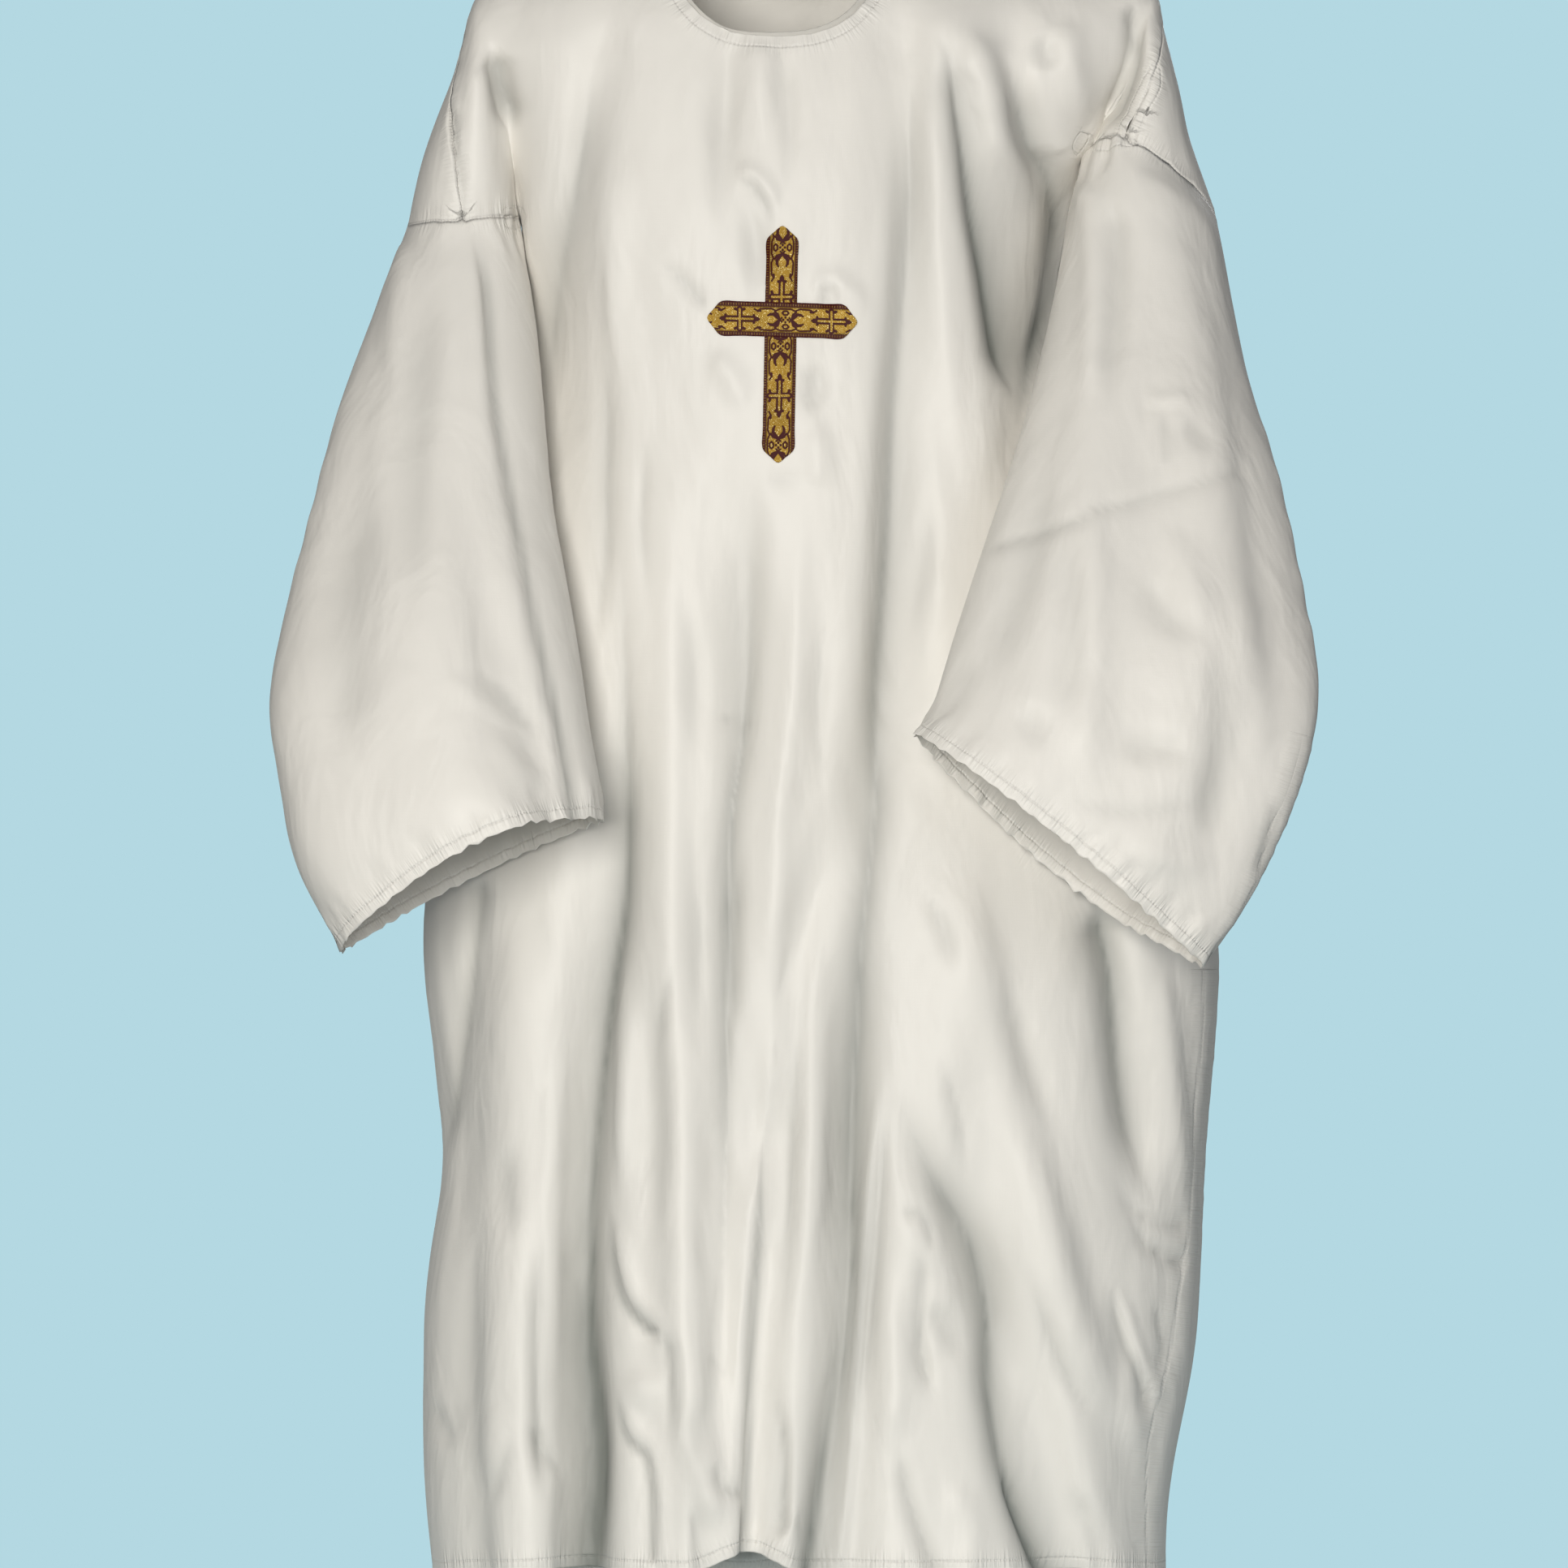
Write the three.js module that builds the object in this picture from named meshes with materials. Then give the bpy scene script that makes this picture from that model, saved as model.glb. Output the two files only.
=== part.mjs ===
// A baptismal robe of plain white cloth, in the hollow form it takes on a general figure whose
// forearms are held a little forward: a front and a back panel with dropped shoulders, two wide bell
// sleeves, a narrow neck facing, and a cross of two lengths of galloon on the chest.
//
// Millimetres, +Z up. The front looks towards -Y and the wearer's left is +X. The origin is the
// middle of the shoulder line, where the shoulders hold the robe up, and it hangs down from there.
import * as THREE from 'three';

// Walls and seams
const CLOTH_WALL = 1.6;
const HEM_WALL = 2.8;
const HEM_DEPTH = 10;
const SEAM_GAP = 0.3;
const FACING_WALL = 1.2;
const FACING_STAND = 6;
const FACING_WIDTH = 18;
const FACING_GAP = 0.7;
const GALLOON_WALL = 1.1;
const GALLOON_LIFT = 0.6;

// Heights, down from the shoulder line: both hems, the rise of the front hem at its middle fold, and
// the shoulder tips
const FRONT_HEM = -1416;
const BACK_HEM = -1444;
const HEM_RISE = { x: -30, width: 28, up: 17 };
const TIP_Z = -50;

// The round neck
const NECK = { middle: -6, halfWidth: 94, frontDrop: 114, backDrop: 20, roundness: 2.6 };

// How fast the shoulders round over, and how square the torso is from above
const SHOULDER_ROUND = 105;
const TORSO_SQUARENESS = 2.3;
const UNION_POWER = 3;

// Columns and rows of the nets of points
const ARM_COLUMNS = 12;
const SHOULDER_COLUMNS = 7;
const FRONT_NECK_COLUMNS = 28;
const BACK_NECK_COLUMNS = 16;
const YOKE_ROWS = 8;
const BODY_ROWS = 20;
const SLEEVE_ROWS = 16;
const EVENED_BY = 0.3;
const EVEN_SPACING = 0.6;

// A table with named columns and a row for each section. Reading it at any value of its first
// column gives every column there, on a smooth curve through the rows.
function table(names, ...rows) {
  const key = names[0];
  const records = rows.map((row) => Object.fromEntries(names.map((name, i) => [name, row[i]])));
  records.sort((a, b) => a[key] - b[key]);
  const last = records.length - 1;
  const slope = (i, name) => {
    const before = records[Math.max(i - 1, 0)];
    const after = records[Math.min(i + 1, last)];
    return (after[name] - before[name]) / (after[key] - before[key]);
  };
  return (value) => {
    const at = THREE.MathUtils.clamp(value, records[0][key], records[last][key]);
    let i = 0;
    while (i < last - 1 && records[i + 1][key] < at) i += 1;
    const from = records[i];
    const to = records[i + 1];
    const span = to[key] - from[key];
    const t = (at - from[key]) / span;
    const read = {};
    for (const name of names) {
      const start = (2 * t ** 3 - 3 * t ** 2 + 1) * from[name] + (3 * t ** 2 - 2 * t ** 3) * to[name];
      const bend = (t ** 3 - 2 * t ** 2 + t) * slope(i, name) + (t ** 3 - t ** 2) * slope(i + 1, name);
      read[name] = start + bend * span;
    }
    return read;
  };
}

// The torso in level sections. Above the underarms `right` and `left` are the creases between arm
// and chest, and below them the side seams. `side` is how far back the side seams lie, and the
// fills are the depth of the crease between arm and chest on each side.
const TORSO = table(
  ['z', 'right', 'left', 'front', 'back', 'side', 'fillRight', 'fillLeft'],
  [0, -238, 306, 52, 72, 0, 60, 60],
  [TIP_Z, -238, 304, 68, 92, 0, 60, 60],
  [-106, -240, 298, 92, 112, 0, 60, 54],
  [-160, -237, 285, 110, 120, 0, 48, 32],
  [-212, -232, 257, 120, 122, 0, 28, 0],
  [-264, -228, 237, 126, 124, 5, 0, 0],
  [-345, -217, 232, 131, 126, 34, 0, 0],
  [-430, -224, 246, 135, 128, 50, 0, 0],
  [-520, -241, 274, 138, 131, 58, 0, 0],
  [-640, -275, 318, 142, 138, 58, 0, 0],
  [-760, -300, 352, 148, 148, 58, 0, 0],
  [-885, -313, 378, 156, 158, 50, 0, 0],
  [-985, -304, 374, 162, 166, 44, 0, 0],
  [-1083, -296, 366, 168, 174, 38, 0, 0],
  [-1175, -309, 362, 174, 180, 32, 0, 0],
  [-1260, -312, 354, 180, 186, 28, 0, 0],
  [-1350, -311, 336, 186, 192, 24, 0, 0],
  [-1444, -302, 330, 192, 198, 20, 0, 0],
);

// The shoulder line from the right shoulder tip over the neck to the left one
const SHOULDER_LINE = table(
  ['x', 'z'],
  [-238, TIP_Z],
  [-200, -34],
  [-150, -16],
  [-99, 0],
  [-6, 6],
  [87, 0],
  [150, -15],
  [220, -33],
  [304, TIP_Z],
);

// The upper arms above the armholes, in level sections: the outer side, half the depth from front to
// back, and where the shoulder seam lies round the arm. Angles run round the arm from 0 at its outer
// side, forward over 90 at the front to 180 at the inner side, and backward to -180.
const UPPER_ARMS = {
  right: {
    inner: 'right',
    fill: 'fillRight',
    seamStart: 92,
    armhole: { outerZ: -270, innerZ: -264, frontUp: 0 },
    sections: table(
      ['z', 'outer', 'depth', 'seamAngle'],
      [TIP_Z, -241, 20, 0],
      [-62, -254, 34, 0],
      [-75, -266, 44, 6],
      [-97, -273, 52, 12],
      [-139, -284, 60, 30],
      [-186, -302, 65, 58],
      [-220, -313, 67, 78],
      [-270, -324, 68, 92],
    ),
  },
  left: {
    inner: 'left',
    fill: 'fillLeft',
    seamStart: 112,
    armhole: { outerZ: -264, innerZ: -212, frontUp: 34 },
    sections: table(
      ['z', 'outer', 'depth', 'seamAngle'],
      [TIP_Z, 307, 20, 0],
      [-64, 317, 32, 0],
      [-75, 324, 42, 8],
      [-100, 328, 52, 30],
      [-127, 335, 58, 66],
      [-155, 342, 62, 94],
      [-197, 351, 65, 112],
      [-264, 374, 68, 112],
      [-300, 380, 70, 112],
    ),
  },
};

// The sleeves in sections from the armhole to the cuff. A section is an oval from its outer to its
// inner point, `depth` to each side of `middleY`, with its front and back raised by the last two.
const SLEEVES = {
  right: table(
    ['t', 'outerX', 'outerZ', 'innerX', 'innerZ', 'middleY', 'depth', 'frontUp', 'backUp'],
    [0, -324, -270, -229, -264, 0, 68, 0, 0],
    [0.12, -352, -348, -214, -344, -34, 73, 0, 0],
    [0.25, -379, -427, -206, -413, -68, 78, 0, 0],
    [0.4, -402, -524, -197, -503, -106, 84, 0, 0],
    [0.54, -424, -618, -185, -570, -140, 90, 0, 0],
    [0.66, -433, -685, -173, -636, -164, 94, 0, 0],
    [0.78, -424, -747, -163, -702, -184, 97, 0, 0],
    [0.89, -408, -821, -155, -745, -200, 97, 12, 2],
    [1, -370, -892, -151, -783, -208, 94, 34, 8],
  ),
  left: table(
    ['t', 'outerX', 'outerZ', 'innerX', 'innerZ', 'middleY', 'depth', 'frontUp', 'backUp'],
    [0, 374, -264, 257, -212, 0, 68, 34, -34],
    [0.1, 379, -299, 245, -263, -24, 72, 28, -28],
    [0.25, 397, -401, 231, -337, -64, 76, 14, -14],
    [0.4, 421, -491, 207, -435, -108, 80, 6, -6],
    [0.55, 441, -597, 182, -513, -148, 83, 0, 0],
    [0.67, 450, -666, 155, -593, -178, 84, 0, 0],
    [0.78, 440, -731, 136, -652, -198, 83, 0, 0],
    [0.87, 414, -799, 125, -687, -212, 81, 4, -8],
    [0.94, 384, -856, 115, -701, -220, 79, 8, -16],
    [1, 351, -904, 110, -709, -224, 76, 10, -21],
  ),
};

// Folds of a panel. Each follows a curve through three places, x at the heights of its top, middle
// and bottom, `width` to each side. Its depth goes into the robe, and a ridge has a depth below 0.
const FOLD_COLUMNS = ['topX', 'topZ', 'midX', 'midZ', 'endX', 'endZ', 'width', 'topDepth', 'endDepth'];
const FRONT_FOLDS = folds(
  [-152, -124, -182, -292, -192, -460, 22, 9, 12],
  [-152, -269, -144, -346, -131, -425, 16, -6, -5],
  [-49, -120, -49, -172, -47, -223, 16, 5, 5],
  [100, -120, 99, -406, 101, -691, 24, 8, 12],
  [138, -110, 154, -287, 172, -475, 18, -7, -8],
  [162, -103, 197, -228, 224, -351, 15, -6, -7],
  [191, -130, 209, -213, 222, -307, 22, 10, 13],
  [-44, -527, -44, -609, -46, -692, 26, 8, 8],
  [-151, -760, -169, -1015, -171, -1444, 25, 10, 30],
  [-221, -927, -227, -1171, -233, -1444, 30, -6, -12],
  [-82, -995, -82, -1191, -78, -1444, 20, -5, -14],
  [-55, -1049, -55, -1166, -57, -1288, 13, 7, 8],
  [79, -747, 12, -887, -14, -1049, 20, 8, 12],
  [-14, -1049, -18, -1239, -25, -1444, 15, 12, 20],
  [53, -927, 53, -1181, 49, -1444, 25, 8, 22],
  [147, -858, 137, -1005, 116, -1152, 28, -9, -8],
  [120, -1049, 178, -1191, 246, -1444, 25, 7, 15],
  [208, -1093, 241, -1249, 283, -1444, 24, -6, -12],
  [267, -851, 286, -956, 301, -1093, 20, 9, 10],
  [-257, -897, -271, -995, -274, -1093, 14, 7, 6],
);
const BACK_FOLDS = folds(
  [-150, -120, -165, -300, -180, -480, 22, 8, 12],
  [-60, -90, -62, -280, -60, -460, 18, 7, 9],
  [40, -80, 46, -300, 52, -560, 20, -6, -9],
  [120, -110, 130, -350, 142, -620, 24, 9, 13],
  [205, -130, 222, -215, 236, -310, 16, 14, 16],
  [-30, -600, -26, -1000, -34, -1444, 28, 9, 26],
  [-105, -760, -112, -1080, -118, -1444, 24, -7, -18],
  [-190, -820, -198, -1120, -206, -1444, 27, 10, 26],
  [62, -700, 60, -1050, 66, -1444, 26, -8, -18],
  [150, -760, 158, -1100, 166, -1444, 26, 11, 26],
  [236, -880, 246, -1150, 252, -1444, 25, -6, -14],
  [-262, -900, -266, -1150, -262, -1444, 20, 5, 9],
);

// Folds of a sleeve, from its start to its end along the sleeve, at an angle round it in degrees
const SLEEVE_FOLD_COLUMNS = ['start', 'end', 'startAngle', 'endAngle', 'width', 'startDepth', 'endDepth'];
const SLEEVE_FOLDS = {
  right: sleeveFolds(
    [0.02, 1.1, 100, 142, 9, 3, 12],
    [0.05, 1.1, 78, 112, 13, -2, -8],
    [0.04, 0.5, 44, 40, 11, 5, 5],
    [0.3, 1.1, 62, 66, 15, 3, 7],
    [0.25, 1.1, 22, 26, 12, -2, -5],
    [0.1, 1.1, -40, -36, 18, 4, 11],
    [0.2, 1.1, -88, -84, 16, -3, -9],
    [0.1, 1.1, -132, -128, 17, 4, 9],
  ),
  left: sleeveFolds(
    [0.03, 0.8, 122, 116, 12, -4, -6],
    [0.05, 1.1, 96, 84, 13, 4, 8],
    [0.05, 0.7, 62, 66, 12, -3, -6],
    [0.35, 0.95, 40, 50, 12, 4, 8],
    [0.3, 1.1, 22, 18, 9, -2, -4],
    [0.1, 1.1, -42, -38, 18, 4, 11],
    [0.2, 1.1, -86, -82, 16, -3, -9],
    [0.1, 1.1, -130, -128, 17, 4, 9],
  ),
};
const FOLD_FADE = 55;
const SLEEVE_FOLD_FADE = 0.12;

// The cross of galloon: each length runs from one pointed end to the other
const GALLOON_POINT = 12;
const CROSS_UPRIGHT = { fromX: -0.5, fromZ: -277, toX: -4.4, toZ: -479.5, width: 27.2 };
const CROSS_BAR = { fromX: -65, fromZ: -355.5, toX: 63, toZ: -359.5, width: 29.6 };
const GALLOON_STEP = 12;
const GALLOON_COLUMNS = 4;

const WHITE_CLOTH = { color: 0xece8df, roughness: 0.72, metalness: 0 };
const INNER_CLOTH = { color: 0xd8d4cb, roughness: 0.78, metalness: 0 };
const GOLD_GALLOON = { color: 0xb08d3e, roughness: 0.5, metalness: 0.35 };

const mix = THREE.MathUtils.lerp;
const smooth = (value, from, to) => THREE.MathUtils.smoothstep(value, from, to);
const radians = THREE.MathUtils.degToRad;
const steps = (count) => Array.from({ length: count + 1 }, (_, i) => i / count);

function folds(...rows) {
  return rows.map((row) => Object.fromEntries(FOLD_COLUMNS.map((name, i) => [name, row[i]])));
}

function sleeveFolds(...rows) {
  return rows.map((row) => Object.fromEntries(SLEEVE_FOLD_COLUMNS.map((name, i) => [name, row[i]])));
}

// How deep all the folds of a panel go in at one place
function foldDepth(list, x, z) {
  let depth = 0;
  for (const fold of list) {
    const reach = (z - fold.topZ) / (fold.endZ - fold.topZ);
    const bend = (fold.midZ - fold.topZ) / (fold.endZ - fold.topZ);
    const bow = (fold.midX - mix(fold.topX, fold.endX, bend)) / (bend * (1 - bend));
    const clamped = THREE.MathUtils.clamp(reach, 0, 1);
    const middle = mix(fold.topX, fold.endX, clamped) + bow * clamped * (1 - clamped);
    const past = Math.max(z - fold.topZ, fold.endZ - z, 0) / FOLD_FADE;
    const across = (x - middle) / fold.width;
    depth += mix(fold.topDepth, fold.endDepth, clamped) * Math.exp(-across * across - past * past * 3);
  }
  return depth;
}

function sleeveFoldDepth(list, angle, t) {
  let depth = 0;
  for (const fold of list) {
    const reach = THREE.MathUtils.clamp((t - fold.start) / (fold.end - fold.start), 0, 1);
    const past = Math.max(fold.start - t, t - fold.end, 0) / SLEEVE_FOLD_FADE;
    const across = (angle - mix(fold.startAngle, fold.endAngle, reach)) / fold.width;
    depth += mix(fold.startDepth, fold.endDepth, reach) * Math.exp(-across * across - past * past * 3);
  }
  return depth * smooth(t, 0.06, 0.4);
}

// The shoulders round over: 0 on the shoulder line, 1 a hand below it
function shoulderRound(x, z) {
  const below = THREE.MathUtils.clamp((SHOULDER_LINE(x).z - z) / SHOULDER_ROUND, 0, 1);
  return Math.sqrt(1 - (1 - below) ** 2);
}

// A point of the torso: `across` runs from -1 at the right side to 1 at the left one, and `face` is
// -1 on the front and 1 on the back.
function torsoPoint(across, z, face) {
  const section = TORSO(z);
  const x = mix(section.right, section.left, (across + 1) / 2);
  const round = (1 - Math.min(Math.abs(across), 1) ** TORSO_SQUARENESS) ** (1 / TORSO_SQUARENESS);
  const fill = Math.max(mix(section.fillRight, section.fillLeft, (across + 1) / 2), 0);
  const reach = (face < 0 ? section.front + section.side : section.back - section.side) * round;
  const depth = (reach ** UNION_POWER + fill ** UNION_POWER) ** (1 / UNION_POWER);
  const inward = foldDepth(face < 0 ? FRONT_FOLDS : BACK_FOLDS, x, z) * smooth(round, 0.15, 0.6);
  const y = section.side + face * (depth - inward) * shoulderRound(x, z);
  return new THREE.Vector3(x, y, z);
}

// Where a place of the front view lies between the sides of the torso
function acrossTorso(x, z) {
  const section = TORSO(z);
  return (2 * x - section.left - section.right) / (section.left - section.right);
}

// A point of the upper arm, on a level section
function armPoint(arm, angle, z) {
  const section = arm.sections(z);
  const torso = TORSO(z);
  const inward = (1 - Math.cos(radians(angle))) / 2;
  const x = mix(section.outer, torso[arm.inner], inward);
  const round = section.depth * Math.abs(Math.sin(radians(angle)));
  const fill = Math.max(torso[arm.fill], 0) * inward ** 2;
  const depth = (round ** UNION_POWER + fill ** UNION_POWER) ** (1 / UNION_POWER);
  const y = Math.sign(-angle) * depth * shoulderRound(torso[arm.inner], z);
  return new THREE.Vector3(x, y, z);
}

function armholeZ(arm, angle) {
  const inward = (1 - Math.cos(radians(angle))) / 2;
  const { outerZ, innerZ, frontUp } = arm.armhole;
  return mix(outerZ, innerZ, inward) + frontUp * Math.sin(radians(angle));
}

// How far down a column of the yoke a row lies: close rows near the shoulder, where it rounds over.
// A row of the torso also follows the slope of the shoulder.
const easeDown = (v) => 1 - Math.cos((v * Math.PI) / 2);
const easeRound = (v) => Math.sin((v * Math.PI) / 2);

// The columns over one upper arm, from the low end of the shoulder seam to the crease between arm
// and chest. Both panels start on the same seam points and end round their half of the armhole.
function armColumns(arm, face) {
  const seamFootZ = armholeZ(arm, arm.seamStart);
  return steps(ARM_COLUMNS).map((k) => {
    const topZ = mix(seamFootZ, TIP_Z, k);
    const topAngle = k === 1 ? 180 * -face : arm.sections(topZ).seamAngle;
    const endAngle = mix(arm.seamStart, 180 * -face, k);
    const startAngle = k === 0 ? arm.seamStart : topAngle;
    return steps(YOKE_ROWS).map((v) => {
      const z = mix(topZ, armholeZ(arm, endAngle), easeDown(v));
      return armPoint(arm, mix(startAngle, endAngle, easeRound(v)), z);
    });
  });
}

// The top edge of a panel over the torso: the right shoulder, the neckline and the left shoulder
function topEdge(face, neckColumns) {
  const drop = face < 0 ? NECK.frontDrop : NECK.backDrop;
  const neckPoint = (turn) => {
    const sideways = Math.sign(Math.cos(turn)) * Math.abs(Math.cos(turn)) ** (2 / NECK.roundness);
    const x = NECK.middle - NECK.halfWidth * sideways;
    const z = -drop * Math.sin(turn) ** (2 / NECK.roundness);
    return { x, z };
  };
  const tips = TORSO(TIP_Z);
  const shoulder = (tipX, neckX) =>
    steps(SHOULDER_COLUMNS)
      .slice(0, -1)
      .map((k) => {
        const x = mix(tipX, neckX, k);
        return { x, z: SHOULDER_LINE(x).z };
      });
  const right = shoulder(tips.right, NECK.middle - NECK.halfWidth);
  const left = shoulder(tips.left, NECK.middle + NECK.halfWidth).reverse();
  const neck = steps(neckColumns).map((k) => neckPoint(k * Math.PI));
  return [...right, ...neck, ...left];
}

// The columns of a panel over the torso, from the top edge to the level of the underarms and on to
// the hem, from the wearer's right to the left
function torsoColumns(face, neckColumns) {
  const top = topEdge(face, neckColumns);
  const count = top.length - 1;
  const hemZ = face < 0 ? FRONT_HEM : BACK_HEM;
  const bodyRows = [...steps(BODY_ROWS).slice(1, -1), 'hem', 1];
  return top.map((start, i) => {
    const k = i / count;
    const across = mix(-Math.cos(k * Math.PI), 2 * k - 1, EVEN_SPACING);
    const underarmZ = mix(UPPER_ARMS.right.armhole.innerZ, UPPER_ARMS.left.armhole.innerZ, k);
    const startAcross = i === 0 || i === count ? across : acrossTorso(start.x, start.z);
    const sideways = Math.abs(across) ** 6;
    const fromRise = (torsoPoint(across, hemZ, face).x - HEM_RISE.x) / HEM_RISE.width;
    const rise = face < 0 ? HEM_RISE.up * Math.exp(-fromRise * fromRise) : 0;
    const edgeZ = mix(hemZ, (FRONT_HEM + BACK_HEM) / 2, sideways) + rise;
    const yoke = steps(YOKE_ROWS).map((v) => {
      const place = mix(startAcross, across, v);
      const level = mix(start.z, underarmZ, easeDown(v));
      const slope = SHOULDER_LINE(torsoPoint(place, level, face).x).z - SHOULDER_LINE(start.x).z;
      return torsoPoint(place, level + slope * (1 - easeDown(v)), face);
    });
    const body = bodyRows.map((t) => {
      const z = t === 'hem' ? edgeZ + HEM_DEPTH : mix(underarmZ, edgeZ, t);
      return torsoPoint(across, z, face);
    });
    return [...yoke, ...body];
  });
}

// A panel's net: arm columns down to the armhole, torso columns down to the hem
function panelNet(face, neckColumns) {
  const torso = torsoColumns(face, neckColumns);
  const right = armColumns(UPPER_ARMS.right, face);
  const left = armColumns(UPPER_ARMS.left, face);
  right.pop();
  left.pop();
  const columns = [...right, ...torso, ...left.reverse()];
  if (face > 0) columns.reverse();
  const rows = torso[0].length;
  const points = steps(rows - 1).map((_, r) => columns.map((column) => column[r] ?? null));
  const wall = points.map((_, r) => (r === rows - 1 ? HEM_WALL : CLOTH_WALL));
  return { points, wall, closed: false };
}

// A sleeve's net, from the body's own armhole points down to the cuff
function sleeveNet(arm, sections, list, mirrored) {
  const angles = [];
  for (const k of steps(ARM_COLUMNS).reverse()) angles.push(mix(arm.seamStart, -180, k));
  for (const k of steps(ARM_COLUMNS).slice(1, -1)) angles.push(mix(arm.seamStart, 180, k));
  const count = angles.length;
  const levels = [...steps(SLEEVE_ROWS).slice(0, -1), 'hem', 1];
  const hemLevel = 1 - HEM_DEPTH / Math.hypot(sections(1).outerX - sections(0).outerX, 700);
  const points = levels.map((level) => {
    const t = level === 'hem' ? hemLevel : level;
    const section = sections(t);
    return angles.map((armholeAngle, i) => {
      if (t === 0) return armPoint(arm, armholeAngle, armholeZ(arm, armholeAngle));
      const evenAngle = -180 + (i * 360) / count;
      const angle = mix(armholeAngle, evenAngle, smooth(t, 0, EVENED_BY));
      const turn = radians(angle);
      const shrink = 1 - sleeveFoldDepth(list, angle, t) / section.depth;
      const inward = (1 - Math.cos(turn) * shrink) / 2;
      const up = Math.max(Math.sin(turn), 0) ** 1.5 * section.frontUp
        + Math.max(-Math.sin(turn), 0) ** 1.5 * section.backUp;
      return new THREE.Vector3(
        mix(section.outerX, section.innerX, inward),
        section.middleY - section.depth * Math.sin(turn) * shrink,
        mix(section.outerZ, section.innerZ, inward) + up,
      );
    });
  });
  if (mirrored) points.forEach((row) => row.reverse());
  const wall = levels.map((level) => (level === 1 ? HEM_WALL : CLOTH_WALL));
  return { points, wall, closed: true };
}

// Points closer than this are one point
const WELD = 0.001;
const keyOf = (point) => point.toArray().map((value) => Math.round(value / WELD)).join();

// Four corners make two triangles, parted along the shorter diagonal
function shortCut([a, b, c, d]) {
  if (a.distanceTo(c) <= b.distanceTo(d)) return [[0, 1, 2], [0, 2, 3]];
  return [[0, 1, 3], [1, 2, 3]];
}

// Turns a net into a surface: its points, once each, and its triangles, seen from outside
function surfaceOf({ points, wall, closed }) {
  const index = new Map();
  const surface = { points: [], wall: [], faces: [] };
  const add = (point, thickness) => {
    const key = keyOf(point);
    if (!index.has(key)) {
      index.set(key, surface.points.length);
      surface.points.push(point);
      surface.wall.push(thickness);
    }
    return index.get(key);
  };
  const ids = points.map((row, r) => row.map((point) => (point ? add(point, wall[r]) : null)));
  for (let r = 0; r < ids.length - 1; r += 1) {
    const width = ids[r].length;
    for (let c = 0; c < (closed ? width : width - 1); c += 1) {
      const next = (c + 1) % width;
      const corners = [ids[r][c], ids[r + 1][c], ids[r + 1][next], ids[r][next]];
      if (corners.includes(null)) continue;
      for (const face of shortCut(corners.map((i) => surface.points[i]))) {
        const triangle = face.map((i) => corners[i]);
        if (new Set(triangle).size === 3) surface.faces.push(triangle);
      }
    }
  }
  return surface;
}

// Adds the directions that the faces of a surface look in, at each of its points. A face counts by
// the corner it fills there.
function gatherNormals(surface, normals) {
  for (const face of surface.faces) {
    const corners = face.map((i) => surface.points[i]);
    corners.forEach((point, i) => {
      const toNext = corners[(i + 1) % 3].clone().sub(point);
      const toLast = corners[(i + 2) % 3].clone().sub(point);
      const direction = toNext.clone().cross(toLast).setLength(toNext.angleTo(toLast));
      const key = keyOf(point);
      if (!normals.has(key)) normals.set(key, new THREE.Vector3());
      normals.get(key).add(direction);
    });
  }
}

// The open edges of a surface, with the surface on the left of each seen from outside
function openEdges(surface) {
  const edges = new Map();
  for (const face of surface.faces) {
    face.forEach((from, i) => edges.set(`${from},${face[(i + 1) % 3]}`, [from, face[(i + 1) % 3]]));
  }
  return [...edges.values()].filter(([from, to]) => !edges.has(`${to},${from}`));
}

// Closes a surface into a wall. Open edges draw back by half the seam gap, so that pieces which
// share their edge points stay a seam gap apart, and both part the band between such points along
// the same diagonal. `lift` moves the whole wall outwards.
function clothWall(surface, normals, lift = 0) {
  const outward = surface.points.map((point) => normals.get(keyOf(point)).clone().normalize());
  const edges = openEdges(surface);
  const inset = surface.points.map(() => []);
  for (const [from, to] of edges) {
    const along = surface.points[to].clone().sub(surface.points[from]).normalize();
    for (const i of [from, to]) inset[i].push(outward[i].clone().cross(along).normalize());
  }
  const outer = surface.points.map((point, i) => {
    const moved = point.clone().addScaledVector(outward[i], lift);
    if (inset[i].length < 2) return moved;
    const [first, second] = inset[i];
    const mitre = Math.max(1 + first.dot(second), 0.4);
    return moved.addScaledVector(first.clone().add(second), SEAM_GAP / 2 / mitre);
  });
  const inner = outer.map((point, i) => point.clone().addScaledVector(outward[i], -surface.wall[i]));
  const count = outer.length;
  const triangles = [];
  for (const [a, b, c] of surface.faces) triangles.push(a, b, c, a + count, c + count, b + count);
  for (const [a, b] of edges) {
    if (keyOf(surface.points[a]) < keyOf(surface.points[b])) {
      triangles.push(b, a, a + count, b, a + count, b + count);
    } else {
      triangles.push(b, a, b + count, a, a + count, b + count);
    }
  }
  const geometry = new THREE.BufferGeometry();
  const places = [...outer, ...inner].flatMap((point) => point.toArray());
  geometry.setAttribute('position', new THREE.Float32BufferAttribute(places, 3));
  geometry.setIndex(triangles);
  geometry.computeVertexNormals();
  return geometry;
}

// The place a given distance along a line of points
function walk(line, distance) {
  let left = distance;
  for (let i = 0; i < line.length - 1; i += 1) {
    const step = line[i].distanceTo(line[i + 1]);
    if (left <= step) return line[i].clone().lerp(line[i + 1], left / step);
    left -= step;
  }
  return line[line.length - 1].clone();
}

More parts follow.
